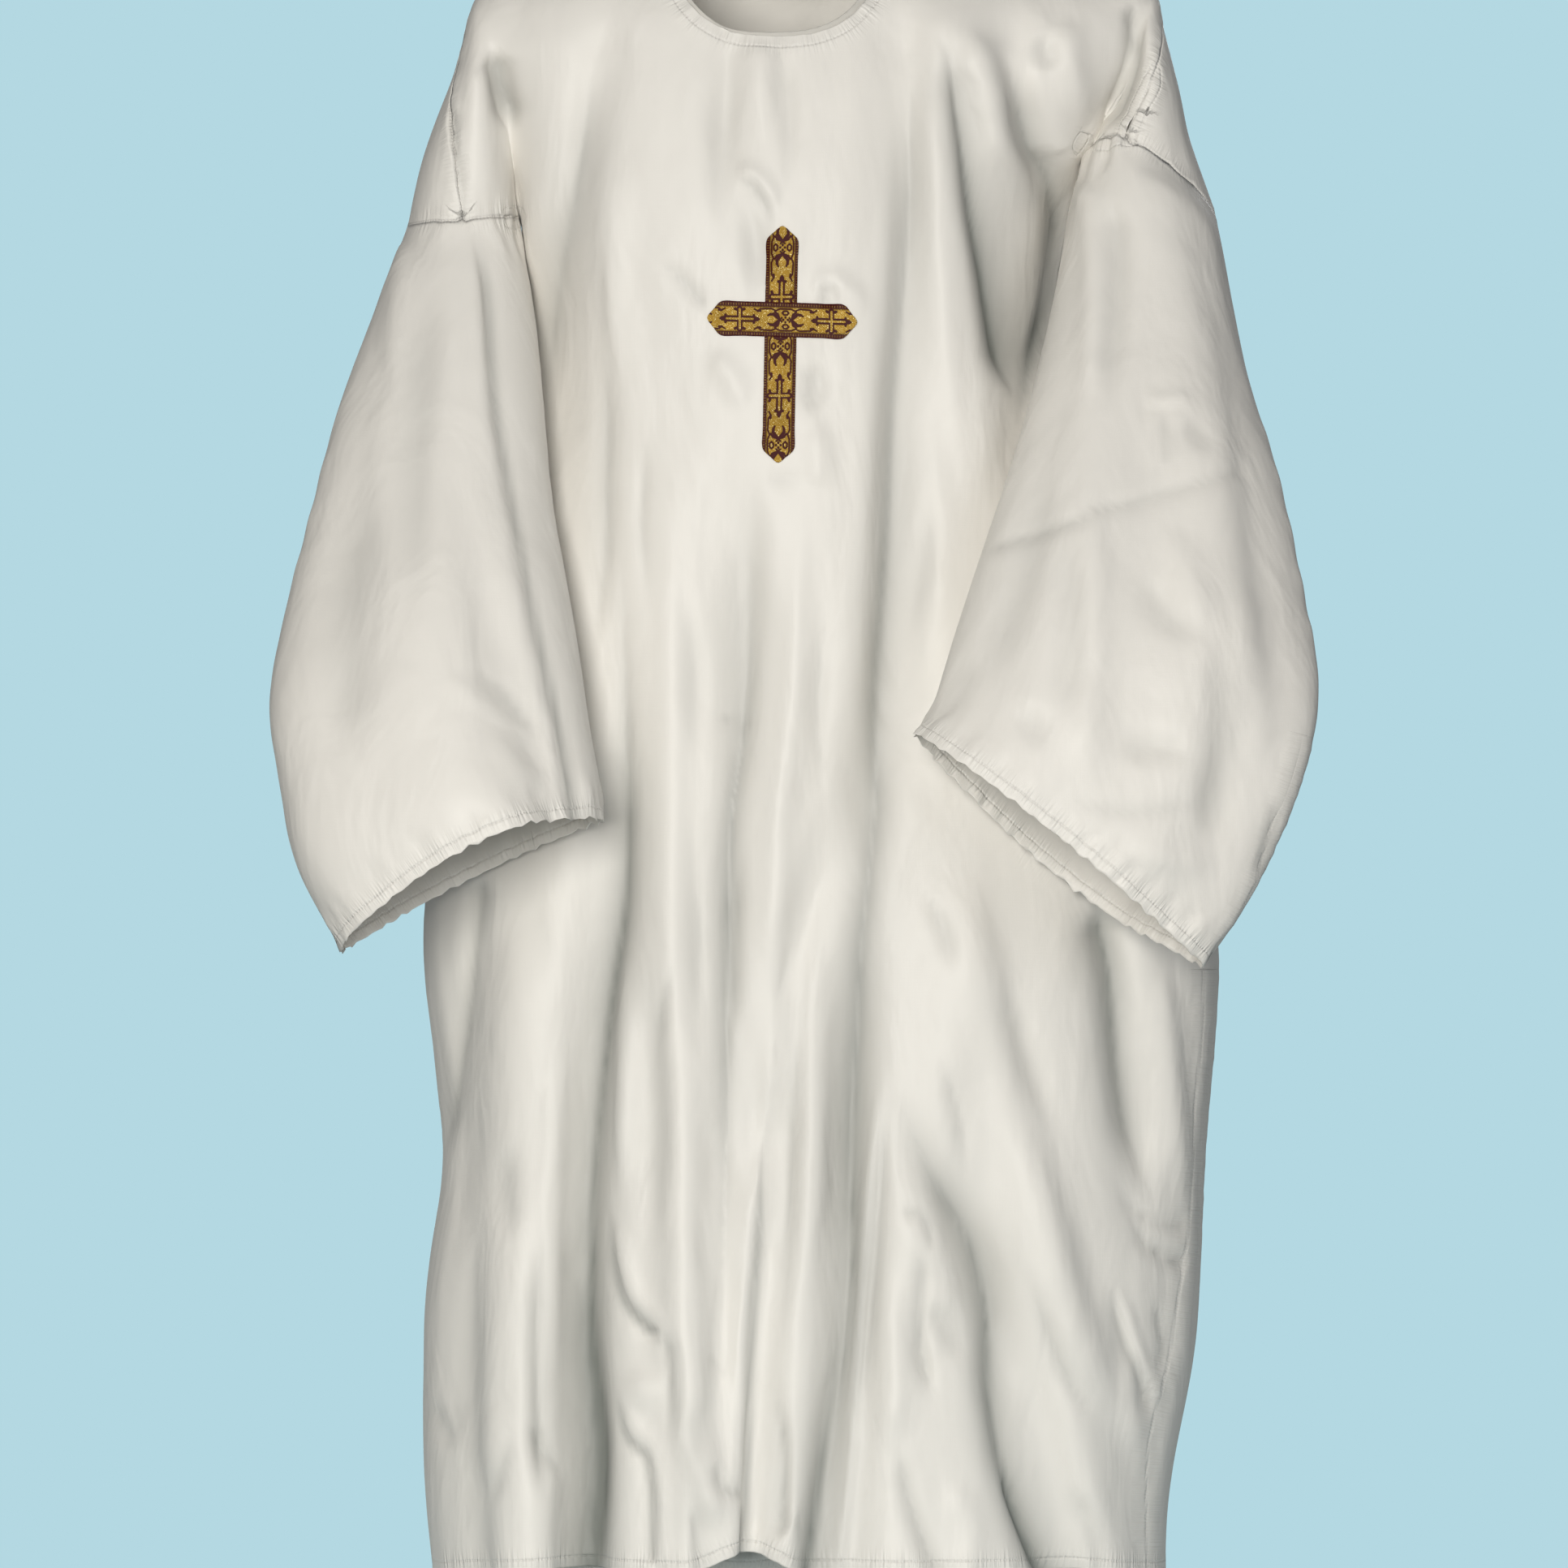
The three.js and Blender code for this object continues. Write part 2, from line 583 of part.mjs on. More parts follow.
// The facing: a strip inside both neck edges, a fixed width along the panels' own columns, and along
// the shoulder seams where the panels meet. It stands a little above the neck edge.
function facingNet(front, back) {
  const first = ARM_COLUMNS + SHOULDER_COLUMNS;
  const columns = [];
  const gather = (net, neckColumns) => {
    const shoulder = net.points[0].slice(ARM_COLUMNS, first + 1).reverse();
    columns.push(shoulder);
    for (let i = 1; i < neckColumns; i += 1) columns.push(net.points.map((row) => row[first + i]));
  };
  gather(front, FRONT_NECK_COLUMNS);
  gather(back, BACK_NECK_COLUMNS);
  const strips = columns.map((line) => {
    const lower = walk(line, FACING_WIDTH);
    const stand = line[0].clone().sub(walk(line, FACING_WIDTH / 2)).setLength(FACING_STAND);
    return [line[0].clone().add(stand), line[0], walk(line, FACING_WIDTH / 2), lower];
  });
  const points = [0, 1, 2, 3].map((r) => strips.map((strip) => strip[r].clone()));
  return { points, wall: points.map(() => FACING_WALL), closed: true };
}

// A length of galloon laid on the front, `over` higher where it crosses the other length
function galloonNet({ fromX, fromZ, toX, toZ, width }, over) {
  const long = Math.hypot(toX - fromX, toZ - fromZ);
  const along = { x: (toX - fromX) / long, z: (toZ - fromZ) / long };
  const middle = Math.max(2, Math.round((long - 2 * GALLOON_POINT) / GALLOON_STEP));
  const places = [0, GALLOON_POINT / 2];
  for (const k of steps(middle)) places.push(mix(GALLOON_POINT, long - GALLOON_POINT, k));
  places.push(long - GALLOON_POINT / 2, long);
  const points = places.map((place) => {
    const half = (width / 2) * Math.min(1, place / GALLOON_POINT, (long - place) / GALLOON_POINT);
    const rise = GALLOON_LIFT + over * smooth(width * 1.3 - Math.abs(place - long / 2), 0, width / 3);
    return steps(GALLOON_COLUMNS).map((k) => {
      const side = mix(half, -half, k);
      const x = fromX + along.x * place + along.z * side;
      const z = fromZ + along.z * place - along.x * side;
      const point = torsoPoint(acrossTorso(x, z), z, -1);
      const lower = torsoPoint(acrossTorso(x, z - 1), z - 1, -1);
      const beside = torsoPoint(acrossTorso(x + 1, z), z, -1);
      const outward = lower.sub(point).cross(beside.sub(point)).normalize();
      return point.addScaledVector(outward, rise + GALLOON_WALL);
    });
  });
  return { points, wall: points.map(() => GALLOON_WALL), closed: false };
}

const frontNet = panelNet(-1, FRONT_NECK_COLUMNS);
const backNet = panelNet(1, BACK_NECK_COLUMNS);

const CLOTH_PIECES = {
  front_panel: surfaceOf(frontNet),
  back_panel: surfaceOf(backNet),
  sleeve_right: surfaceOf(sleeveNet(UPPER_ARMS.right, SLEEVES.right, SLEEVE_FOLDS.right, false)),
  sleeve_left: surfaceOf(sleeveNet(UPPER_ARMS.left, SLEEVES.left, SLEEVE_FOLDS.left, true)),
};

const robe = new THREE.Group();

function addPiece(name, geometry, finish) {
  const mesh = new THREE.Mesh(geometry, new THREE.MeshStandardMaterial(finish));
  mesh.name = name;
  robe.add(mesh);
}

// The panels and sleeves share one set of directions, so that their walls meet square at the seams
const robeNormals = new Map();
for (const surface of Object.values(CLOTH_PIECES)) gatherNormals(surface, robeNormals);
for (const [name, surface] of Object.entries(CLOTH_PIECES)) {
  addPiece(name, clothWall(surface, robeNormals), WHITE_CLOTH);
}

function addLoosePiece(name, net, finish, lift) {
  const surface = surfaceOf(net);
  const normals = new Map();
  gatherNormals(surface, normals);
  addPiece(name, clothWall(surface, normals, lift), finish);
}

addLoosePiece('neck_facing', facingNet(frontNet, backNet), INNER_CLOTH, -(CLOTH_WALL + FACING_GAP));
addLoosePiece('cross_upright', galloonNet(CROSS_UPRIGHT, 0), GOLD_GALLOON, 0);
addLoosePiece('cross_bar', galloonNet(CROSS_BAR, GALLOON_WALL + SEAM_GAP), GOLD_GALLOON, 0);

export default robe;
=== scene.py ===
# A worn baptismal robe: white cloth with its folds, seams and hems, a turned neck facing, and a
# cross of woven galloon on the chest. Metres, +Z up, the front towards -Y, the wearer's left at +X.
import math
from collections import namedtuple

import bmesh
import bpy
import numpy as np
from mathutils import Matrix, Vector, kdtree


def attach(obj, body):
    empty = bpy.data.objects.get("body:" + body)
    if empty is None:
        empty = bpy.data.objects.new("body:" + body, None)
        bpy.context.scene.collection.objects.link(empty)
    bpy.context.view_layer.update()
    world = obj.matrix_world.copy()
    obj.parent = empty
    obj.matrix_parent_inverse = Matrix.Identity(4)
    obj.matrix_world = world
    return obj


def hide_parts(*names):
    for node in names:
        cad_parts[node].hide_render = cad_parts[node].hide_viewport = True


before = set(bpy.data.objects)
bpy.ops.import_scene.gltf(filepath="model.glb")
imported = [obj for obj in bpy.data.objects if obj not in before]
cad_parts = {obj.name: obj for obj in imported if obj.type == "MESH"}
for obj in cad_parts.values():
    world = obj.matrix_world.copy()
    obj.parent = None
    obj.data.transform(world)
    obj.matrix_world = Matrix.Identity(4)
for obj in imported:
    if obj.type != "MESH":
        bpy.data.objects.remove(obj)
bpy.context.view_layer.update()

MM = 0.001

# The cloth pieces, in the order of their numbers on the joined garment
CLOTH_PIECES = ("front_panel", "back_panel", "sleeve_right", "sleeve_left")
FRONT, BACK, RIGHT, LEFT = range(4)
CLOTH_THICKNESS = 0.7 * MM
FACING_THICKNESS = 0.8 * MM
GALLOON_THICKNESS = 1.3 * MM

# The depth at which a crease's painted shade is full, in millimetres, and how much deeper and
# wider than in the table the creases are made
PAINTED_SHADE_DEPTH = 11
DEEPER = 1.5
WIDER = 1.2
# How much painted shade a soft crease gets, and how fast a sharp one and its painted shade rise to the
# sides
SOFT_SHADE = 0.45
PINCH = 1.5
SHARP_SHADE = 1.6

# Under each arm the body's cloth is pressed out and back. For the right and the left: which way out
# is, how far out and back it goes in millimetres, and its share of that at each height
UNDER_ARMS = [
    (-1, 7, 15, [(-520, 0.0), (-430, 0.6), (-345, 1.0), (-300, 0.9), (-262, 0.0)]),
    (1, 12, 31, [(-520, 0.0), (-430, 0.35), (-345, 0.75), (-300, 0.95), (-264, 1.0), (-230, 0.9),
                 (-206, 0.0)]),
]
# Where that pressing sets in and ends again, out from the robe's middle
PRESSED_FROM = (0.165, 0.215)
PRESSED_TO = (0.262, 0.285)

# A crease wanders from its line and is uneven in depth, each over a length in millimetres
WANDER, WANDER_LENGTH = 1.2, 57
UNEVENNESS, UNEVEN_LENGTH = 0.15, 71
# It ends this many widths away, and fades out where the cloth turns away from the view
CREASE_REACH = 4
TURNED_AWAY = (0.02, 0.3)

# Puckers along hems, cuffs and seams, in millimetres: how high they are, the length of one and of a
# longer wave that makes them uneven, the share that stays even, where both waves start, how far from
# the edge they lie, and how far they spread there
Puckers = namedtuple("Puckers", "height length longer even start longer_start away spread")
HEM_PUCKERS = Puckers(1.0, 20, 57, 0.6, 0, 0, 0, 11)
CUFF_PUCKERS = Puckers(2.6, 20, 57, 0.6, 0, 0, 0, 11)
CUFF_GATHERS = Puckers(2.4, 31, 83, 0, 0, 1, 20, 13)
CUFF_SCALLOPS = Puckers(2.0, 19, 71, 0.6, 1, 0, 0, 9)
SEAM_PUCKERS = Puckers(0.6, 19, 47, 0, 0, 0, 7, 6)

# Shapes are placed as seen from straight in front or behind, at this distance and height. The camera
# stands there too, a little to the side, and its picture is this wide at the robe
VIEW_DISTANCE = 8.0
VIEW_HEIGHT = -0.7512
VIEW_ASIDE = 0.0007
VIEW_WIDTH = 1.3524
SENSOR_WIDTH = 36

# ------------------------------
# The creases, in millimetres as seen from in front or from behind, each a line of places from its
# start to its end. Then come how far it reaches to each side, how far it goes into the robe at its
# start and its end, with a ridge below 0, and the share of its length that it fades over at each end.
# A soft crease is round, a sharp one pinched along its line, and a lap is an edge of cloth that lies
# over what is to the left of its line.
FRONT_CREASES = [
    # Chest, from the neck down to the cross
    (FRONT, "sharp", [(-160, -117), (-170, -180), (-186, -264), (-198, -355), (-201, -439)], 14, (3, 6),
     (0.3, 0.3)),
    (FRONT, "sharp", [(-154, -278), (-147, -355), (-136, -411)], 5, (-1.5, -2), (0.3, 0.3)),
    (FRONT, "soft", [(-46, -103), (-48, -152), (-52, -215), (-59, -285)], 10, (4, 4), (0.4, 0.6)),
    (FRONT, "soft", [(-20, -106), (-20, -152), (-19, -215)], 11, (-3, -2), (0.2, 0.7)),
    (FRONT, "soft", [(4, -110), (6, -173), (4, -250)], 7, (3, 2), (0.3, 0.6)),
    (FRONT, "sharp", [(-2, -106), (-4, -152), (-5, -190)], 4, (1.6, 0.8), (0, 0.5)),
    (FRONT, "soft", [(-43, -222), (-28, -225), (-14, -239), (-5, -258)], 6, (-3.5, -2.5), (0.2, 0.3)),
    (FRONT, "soft", [(-46, -232), (-30, -258), (-24, -292), (-26, -334)], 10, (3, 4), (0.5, 0.4)),
    (FRONT, "sharp", [(-40, -230), (-26, -237), (-15, -254), (-13, -274)], 5, (3, 2), (0.3, 0.4)),
    (FRONT, "sharp", [(108, -110), (107, -285), (96, -425), (90, -565), (84, -670), (78, -775),
     (65, -901), (59, -1055), (57, -1195), (40, -1335), (29, -1433)], 16, (5, 10), (0.12, 0)),
    (FRONT, "soft", [(92, -159), (88, -299), (76, -439), (68, -607)], 11, (-3, -3), (0.3, 0.4)),
    (FRONT, "soft", [(128, -117), (130, -250), (145, -390), (161, -523)], 13, (-4, -4), (0.2, 0.4)),
    (FRONT, "sharp", [(138, -107), (148, -152), (158, -195), (170, -257), (182, -316), (197, -423)], 12,
     (7, 12), (0.15, 0.15)),
    (FRONT, "soft", [(158, -96), (180, -166), (200, -257), (212, -320)], 13, (-5, -4), (0.15, 0.4)),
    (FRONT, "sharp", [(191, -117), (208, -180), (223, -236), (232, -285), (227, -345), (213, -400),
     (198, -450)], 14, (8, 11), (0.2, 0.3)),
    (FRONT, "soft", [(224, -100), (234, -139)], 9, (4, 4), (0.4, 0.4)),
    (FRONT, "soft", [(243, -89), (255, -159), (264, -187)], 11, (-4, -3), (0.2, 0.4)),
    # Drawn-in cloth round the cross
    (FRONT, "soft", [(24, -331), (40, -317), (58, -328), (71, -347)], 7, (-3, -3), (0.2, 0.3)),
    (FRONT, "soft", [(30, -330), (50, -330)], 6, (3, 3), (0.3, 0.3)),
    (FRONT, "sharp", [(-115, -299), (-91, -316), (-69, -340)], 5, (2, 2.5), (0.4, 0.1)),
    (FRONT, "soft", [(-61, -375), (-42, -404), (-31, -432)], 10, (-3, -3), (0.3, 0.4)),
    (FRONT, "soft", [(23, -391), (30, -410), (18, -426)], 8, (3.5, 3), (0.2, 0.2)),
    (FRONT, "soft", [(24, -439), (33, -467), (26, -498)], 10, (-2, -2.5), (0.3, 0.3)),
    (FRONT, "sharp", [(-15, -484), (0, -489), (14, -481)], 6, (1.6, 1.6), (0.3, 0.3)),
    # Folds from the chest to the hem, from the wearer's right to the left
    (FRONT, "sharp", [(-261, -831), (-271, -915), (-284, -1006), (-293, -1083)], 9, (5, 4), (0.05, 0.2)),
    (FRONT, "soft", [(-227, -845), (-238, -1055), (-255, -1370)], 18, (-3, -4), (0.2, 0.1)),
    (FRONT, "sharp", [(-149, -355), (-154, -467), (-156, -565), (-166, -656)], 10, (4, 4), (0.4, 0.5)),
    (FRONT, "sharp", [(-142, -509), (-138, -635), (-136, -747), (-141, -845), (-155, -929), (-164, -1020),
     (-170, -1125), (-174, -1230), (-170, -1335), (-173, -1433)], 15, (5, 14), (0.3, 0)),
    (FRONT, "soft", [(-139, -880), (-138, -1020), (-142, -1111)], 8, (-3, -4), (0.4, 0.3)),
    (FRONT, "soft", [(-96, -467), (-97, -705), (-93, -985), (-86, -1195), (-68, -1370)], 14, (-4, -6),
     (0.3, 0)),
    (FRONT, "soft", [(-24, -467), (-31, -565), (-36, -691), (-43, -810)], 16, (4, 7), (0.45, 0.5)),
    (FRONT, "sharp", [(-59, -694), (-42, -697), (-24, -696)], 4, (1.6, 1.6), (0.3, 0.3)),
    (FRONT, "sharp", [(-27, -523), (-36, -691), (-45, -775), (-48, -859), (-50, -1020), (-52, -1167),
     (-57, -1293)], 11, (6, 8), (0.4, 0.5)),
    (FRONT, "sharp", [(-34, -803), (-40, -887), (-42, -971)], 5, (3, 3), (0.3, 0.3)),
    (FRONT, "soft", [(14, -495), (10, -670), (-2, -775), (-9, -887), (-10, -999), (-19, -1090),
     (-27, -1195), (-34, -1300)], 12, (-5, -6), (0.3, 0.3)),
    (FRONT, "lap", [(-15, -1013), (-22, -1090), (-28, -1195), (-33, -1307), (-40, -1433)], 9, (3, 6),
     (0.3, 0)),
    (FRONT, "soft", [(84, -978), (72, -1111), (61, -1265), (48, -1433)], 6, (-5, -6), (0.3, 0)),
    (FRONT, "sharp", [(94, -1006), (79, -1125), (68, -1265), (59, -1335)], 5, (3, 3), (0.3, 0.3)),
    (FRONT, "soft", [(161, -817), (170, -915), (186, -1006), (217, -1104), (255, -1223), (301, -1328),
     ], 17, (-6, -6), (0.2, 0.2)),
    (FRONT, "sharp", [(94, -1006), (122, -1076), (158, -1139), (177, -1202), (184, -1279), (196, -1342),
     (231, -1433)], 15, (5, 12), (0.25, 0)),
    (FRONT, "sharp", [(271, -852), (285, -915), (293, -985), (303, -1055), (321, -1118)], 13, (10, 6),
     (0.1, 0.3)),
    (FRONT, "soft", [(326, -901), (335, -1020), (343, -1125)], 10, (-4, -4), (0.2, 0.3)),
    # Turned-over edges and small crumples low on the front
    (FRONT, "lap", [(-100, -1226), (-121, -1209), (-136, -1188), (-145, -1153), (-149, -1111)], 10,
     (7, 4), (0.1, 0.4)),
    (FRONT, "sharp", [(-100, -1226), (-96, -1272), (-97, -1328)], 5, (4, 3), (0.1, 0.4)),
    (FRONT, "lap", [(-111, -1426), (-110, -1370), (-115, -1329), (-133, -1310), (-144, -1268)], 9, (5, 4),
     (0.05, 0.3)),
    (FRONT, "soft", [(-124, -1251), (-117, -1296)], 13, (-4, -4), (0.4, 0.4)),
    (FRONT, "sharp", [(-68, -1243), (-58, -1254), (-50, -1265)], 5, (2, 2), (0.3, 0.3)),
    (FRONT, "sharp", [(-65, -1335), (-52, -1360), (-34, -1364)], 6, (3, 3), (0.3, 0.1)),
    (FRONT, "sharp", [(99, -1126), (114, -1122), (125, -1133), (130, -1159)], 5, (3, 3), (0.2, 0.3)),
    (FRONT, "sharp", [(110, -1153), (122, -1168), (119, -1209), (121, -1251), (134, -1290)], 6, (3, 7),
     (0.2, 0.3)),
    (FRONT, "soft", [(91, -1167), (96, -1265), (88, -1335)], 10, (-4, -5), (0.3, 0.3)),
    (FRONT, "soft", [(130, -1195), (158, -1251)], 9, (3, 3), (0.3, 0.4)),
    (FRONT, "sharp", [(98, -1321), (108, -1370), (131, -1430)], 7, (4, 5), (0.3, 0)),
    (FRONT, "soft", [(144, -1349), (161, -1391), (158, -1433)], 11, (-3, -4), (0.3, 0)),
    (FRONT, "sharp", [(195, -1338), (208, -1377), (233, -1430)], 5, (4, 4), (0.3, 0)),
    (FRONT, "sharp", [(296, -1125), (318, -1153), (348, -1167)], 5, (3, 4), (0.4, 0.05)),
    (FRONT, "sharp", [(284, -1097), (312, -1125), (349, -1132)], 4, (1.5, 2.5), (0.4, 0.05)),
    (FRONT, "lap", [(322, -1290), (301, -1237), (284, -1181)], 8, (5, 3), (0.1, 0.3)),
    (FRONT, "soft", [(-304, -1279), (-292, -1313), (-276, -1320)], 6, (2.5, 2.5), (0.3, 0.3)),
    (FRONT, "sharp", [(130, -978), (149, -1034), (158, -1097)], 7, (2.5, 3), (0.4, 0.4)),
    (FRONT, "soft", [(192, -901), (208, -978), (234, -1055)], 10, (3, 3.5), (0.4, 0.4)),
    (FRONT, "sharp", [(208, -1167), (232, -1237), (270, -1307)], 8, (3, 4), (0.4, 0.4)),
    (FRONT, "soft", [(241, -1356), (266, -1391), (276, -1430)], 9, (3, 4), (0.4, 0)),
    (FRONT, "soft", [(304, -1223), (296, -1279), (306, -1335)], 9, (-3, -3), (0.4, 0.3)),
    (FRONT, "sharp", [(318, -1195), (330, -1230), (324, -1265)], 5, (2, 2), (0.3, 0.3)),
    (FRONT, "sharp", [(15, -901), (9, -1006), (5, -1125), (-2, -1251)], 8, (3, 4), (0.4, 0.4)),
    (FRONT, "soft", [(29, -859), (27, -1055), (18, -1223)], 11, (-3, -4), (0.4, 0.4)),
    (FRONT, "sharp", [(-79, -761), (-75, -880), (-76, -1006)], 7, (2.5, 3), (0.5, 0.5)),
    (FRONT, "soft", [(-115, -901), (-111, -1041), (-115, -1167)], 11, (4, 5), (0.4, 0.4)),
    (FRONT, "sharp", [(-205, -1111), (-214, -1230), (-208, -1377)], 9, (3, 5), (0.4, 0.2)),
    (FRONT, "soft", [(-192, -950), (-197, -1125), (-190, -1293)], 10, (-3, -4), (0.3, 0.4)),
    (FRONT, "soft", [(-264, -1111), (-270, -1237), (-262, -1426)], 11, (3, 5), (0.4, 0)),
    (FRONT, "sharp", [(-10, -1265), (-2, -1328), (-5, -1405)], 7, (3, 4), (0.4, 0.1)),
    (FRONT, "soft", [(-69, -1265), (-76, -1335), (-69, -1430)], 9, (4, 5), (0.4, 0)),
    (FRONT, "sharp", [(-89, -901), (-102, -943), (-107, -992)], 6, (2, 2), (0.4, 0.4)),
    (FRONT, "sharp", [(115, -838), (136, -873), (145, -922)], 7, (2.5, 2.5), (0.4, 0.4)),
    (FRONT, "soft", [(-227, -1055), (-240, -1097), (-233, -1153)], 9, (3, 3), (0.4, 0.4)),
    (FRONT, "soft", [(-88, -565), (-75, -649), (-80, -747)], 9, (3, 3), (0.5, 0.5)),
    (FRONT, "sharp", [(38, -565), (31, -677), (33, -775)], 7, (2, 3), (0.5, 0.5)),
    (FRONT, "soft", [(130, -495), (120, -565), (108, -635)], 9, (3, 3), (0.4, 0.4)),
    (FRONT, "sharp", [(-115, -439), (-121, -523), (-115, -607)], 6, (2, 2), (0.4, 0.4)),
    (FRONT, "sharp", [(-283, -1279), (-281, -1315)], 4, (1.6, 1.2), (0.4, 0.3)),
    (FRONT, "sharp", [(-224, -1301), (-205, -1328), (-184, -1355)], 6, (3, 2), (0.3, 0.4)),
    (FRONT, "sharp", [(-254, -1377), (-243, -1346), (-230, -1307)], 6, (2.5, 2), (0.3, 0.4)),
    # Creases between the arms and the chest
    (FRONT, "sharp", [(-250, -117), (-244, -152), (-233, -190)], 9, (6, 6), (0.2, 0.3)),
    (FRONT, "sharp", [(-288, -159), (-286, -193), (-276, -243), (-272, -270)], 6, (3, 2), (0.2, 0.1)),
    (FRONT, "soft", [(-265, -117), (-258, -194), (-251, -258)], 10, (-3, -2), (0.2, 0.2)),
    (FRONT, "sharp", [(304, -75), (302, -124), (289, -162), (276, -187)], 7, (6, 5), (0.1, 0.2)),
    (FRONT, "soft", [(304, -180), (315, -202), (327, -218)], 8, (4, 4), (0.3, 0.2)),
    # The wearer's right sleeve
    (RIGHT, "lap", [(-270, -274), (-259, -321), (-253, -425), (-238, -511), (-219, -601), (-204, -668),
     (-191, -732), (-184, -777)], 11, (4, 6), (0.1, 0)),
    (RIGHT, "soft", [(-286, -285), (-273, -411), (-255, -530), (-224, -677)], 13, (-3, -4), (0.2, 0.3)),
    (RIGHT, "soft", [(-328, -278), (-335, -341), (-337, -425)], 8, (-3, -3), (0.1, 0.4)),
    (RIGHT, "soft", [(-308, -306), (-320, -467), (-317, -621)], 16, (4, 5), (0.3, 0.4)),
    (RIGHT, "soft", [(-357, -467), (-378, -607), (-374, -747)], 18, (3, 4), (0.3, 0.3)),
    (RIGHT, "sharp", [(-298, -652), (-270, -676), (-227, -708)], 5, (-1.6, -1.6), (0.3, 0.4)),
    (RIGHT, "sharp", [(-275, -648), (-241, -670), (-208, -716)], 6, (1.6, 2), (0.4, 0.3)),
    (RIGHT, "soft", [(-255, -705), (-227, -736), (-200, -758)], 9, (-2, -2), (0.3, 0.3)),
    # The wearer's left sleeve
    (LEFT, "sharp", [(173, -552), (201, -538), (253, -523), (272, -514), (301, -508), (345, -494),
     (404, -479)], 5, (2.2, 1.6), (0.05, 0.05)),
    (LEFT, "soft", [(265, -453), (267, -607), (262, -768)], 9, (-4, -4), (0.4, 0.2)),
    (LEFT, "soft", [(243, -523), (247, -635), (241, -705)], 9, (3, 4), (0.3, 0.3)),
    (LEFT, "soft", [(227, -467), (208, -565), (168, -677)], 14, (3, 3), (0.3, 0.3)),
    (LEFT, "soft", [(261, -226), (266, -341), (259, -439)], 9, (-4, -3), (0.1, 0.4)),
    (LEFT, "soft", [(285, -243), (289, -341), (280, -439)], 10, (4, 4), (0.15, 0.4)),
    (LEFT, "sharp", [(312, -425), (320, -421), (357, -417)], 5, (-2.2, -2.2), (0.2, 0.3)),
    (LEFT, "sharp", [(321, -428), (324, -456), (327, -481)], 5, (-2.5, -2.5), (0.2, 0.2)),
    (LEFT, "sharp", [(330, -432), (332, -456), (331, -480)], 5, (2.5, 2.5), (0.2, 0.2)),
    (LEFT, "sharp", [(343, -425), (340, -446), (330, -478)], 6, (-2, -2), (0.3, 0.2)),
    (LEFT, "soft", [(350, -432), (374, -467)], 9, (3, 2), (0.3, 0.4)),
    (LEFT, "soft", [(304, -565), (332, -607), (374, -628)], 12, (3.5, 3), (0.4, 0.4)),
    (LEFT, "soft", [(326, -523), (354, -579), (360, -635)], 11, (-3, -3), (0.4, 0.4)),
    (LEFT, "soft", [(200, -677), (217, -705), (234, -719)], 10, (3, 3), (0.4, 0.4)),
    (LEFT, "soft", [(294, -736), (318, -719), (360, -730)], 11, (4, 3), (0.3, 0.4)),
    (LEFT, "sharp", [(234, -764), (304, -775), (374, -768)], 7, (2, 2), (0.4, 0.3)),
    (LEFT, "soft", [(298, -803), (340, -817), (374, -810)], 12, (-3, -3), (0.3, 0.3)),
    (LEFT, "soft", [(378, -607), (382, -691), (369, -810)], 12, (4, 5), (0.3, 0.2)),
    (LEFT, "soft", [(396, -565), (410, -677), (406, -747)], 11, (-3, -3), (0.3, 0.3)),
    (LEFT, "sharp", [(428, -764), (420, -796), (408, -834)], 5, (3, 3), (0.2, 0.2)),
    (LEFT, "soft", [(164, -635), (150, -677), (130, -698)], 8, (2, 2), (0.3, 0.3)),
]
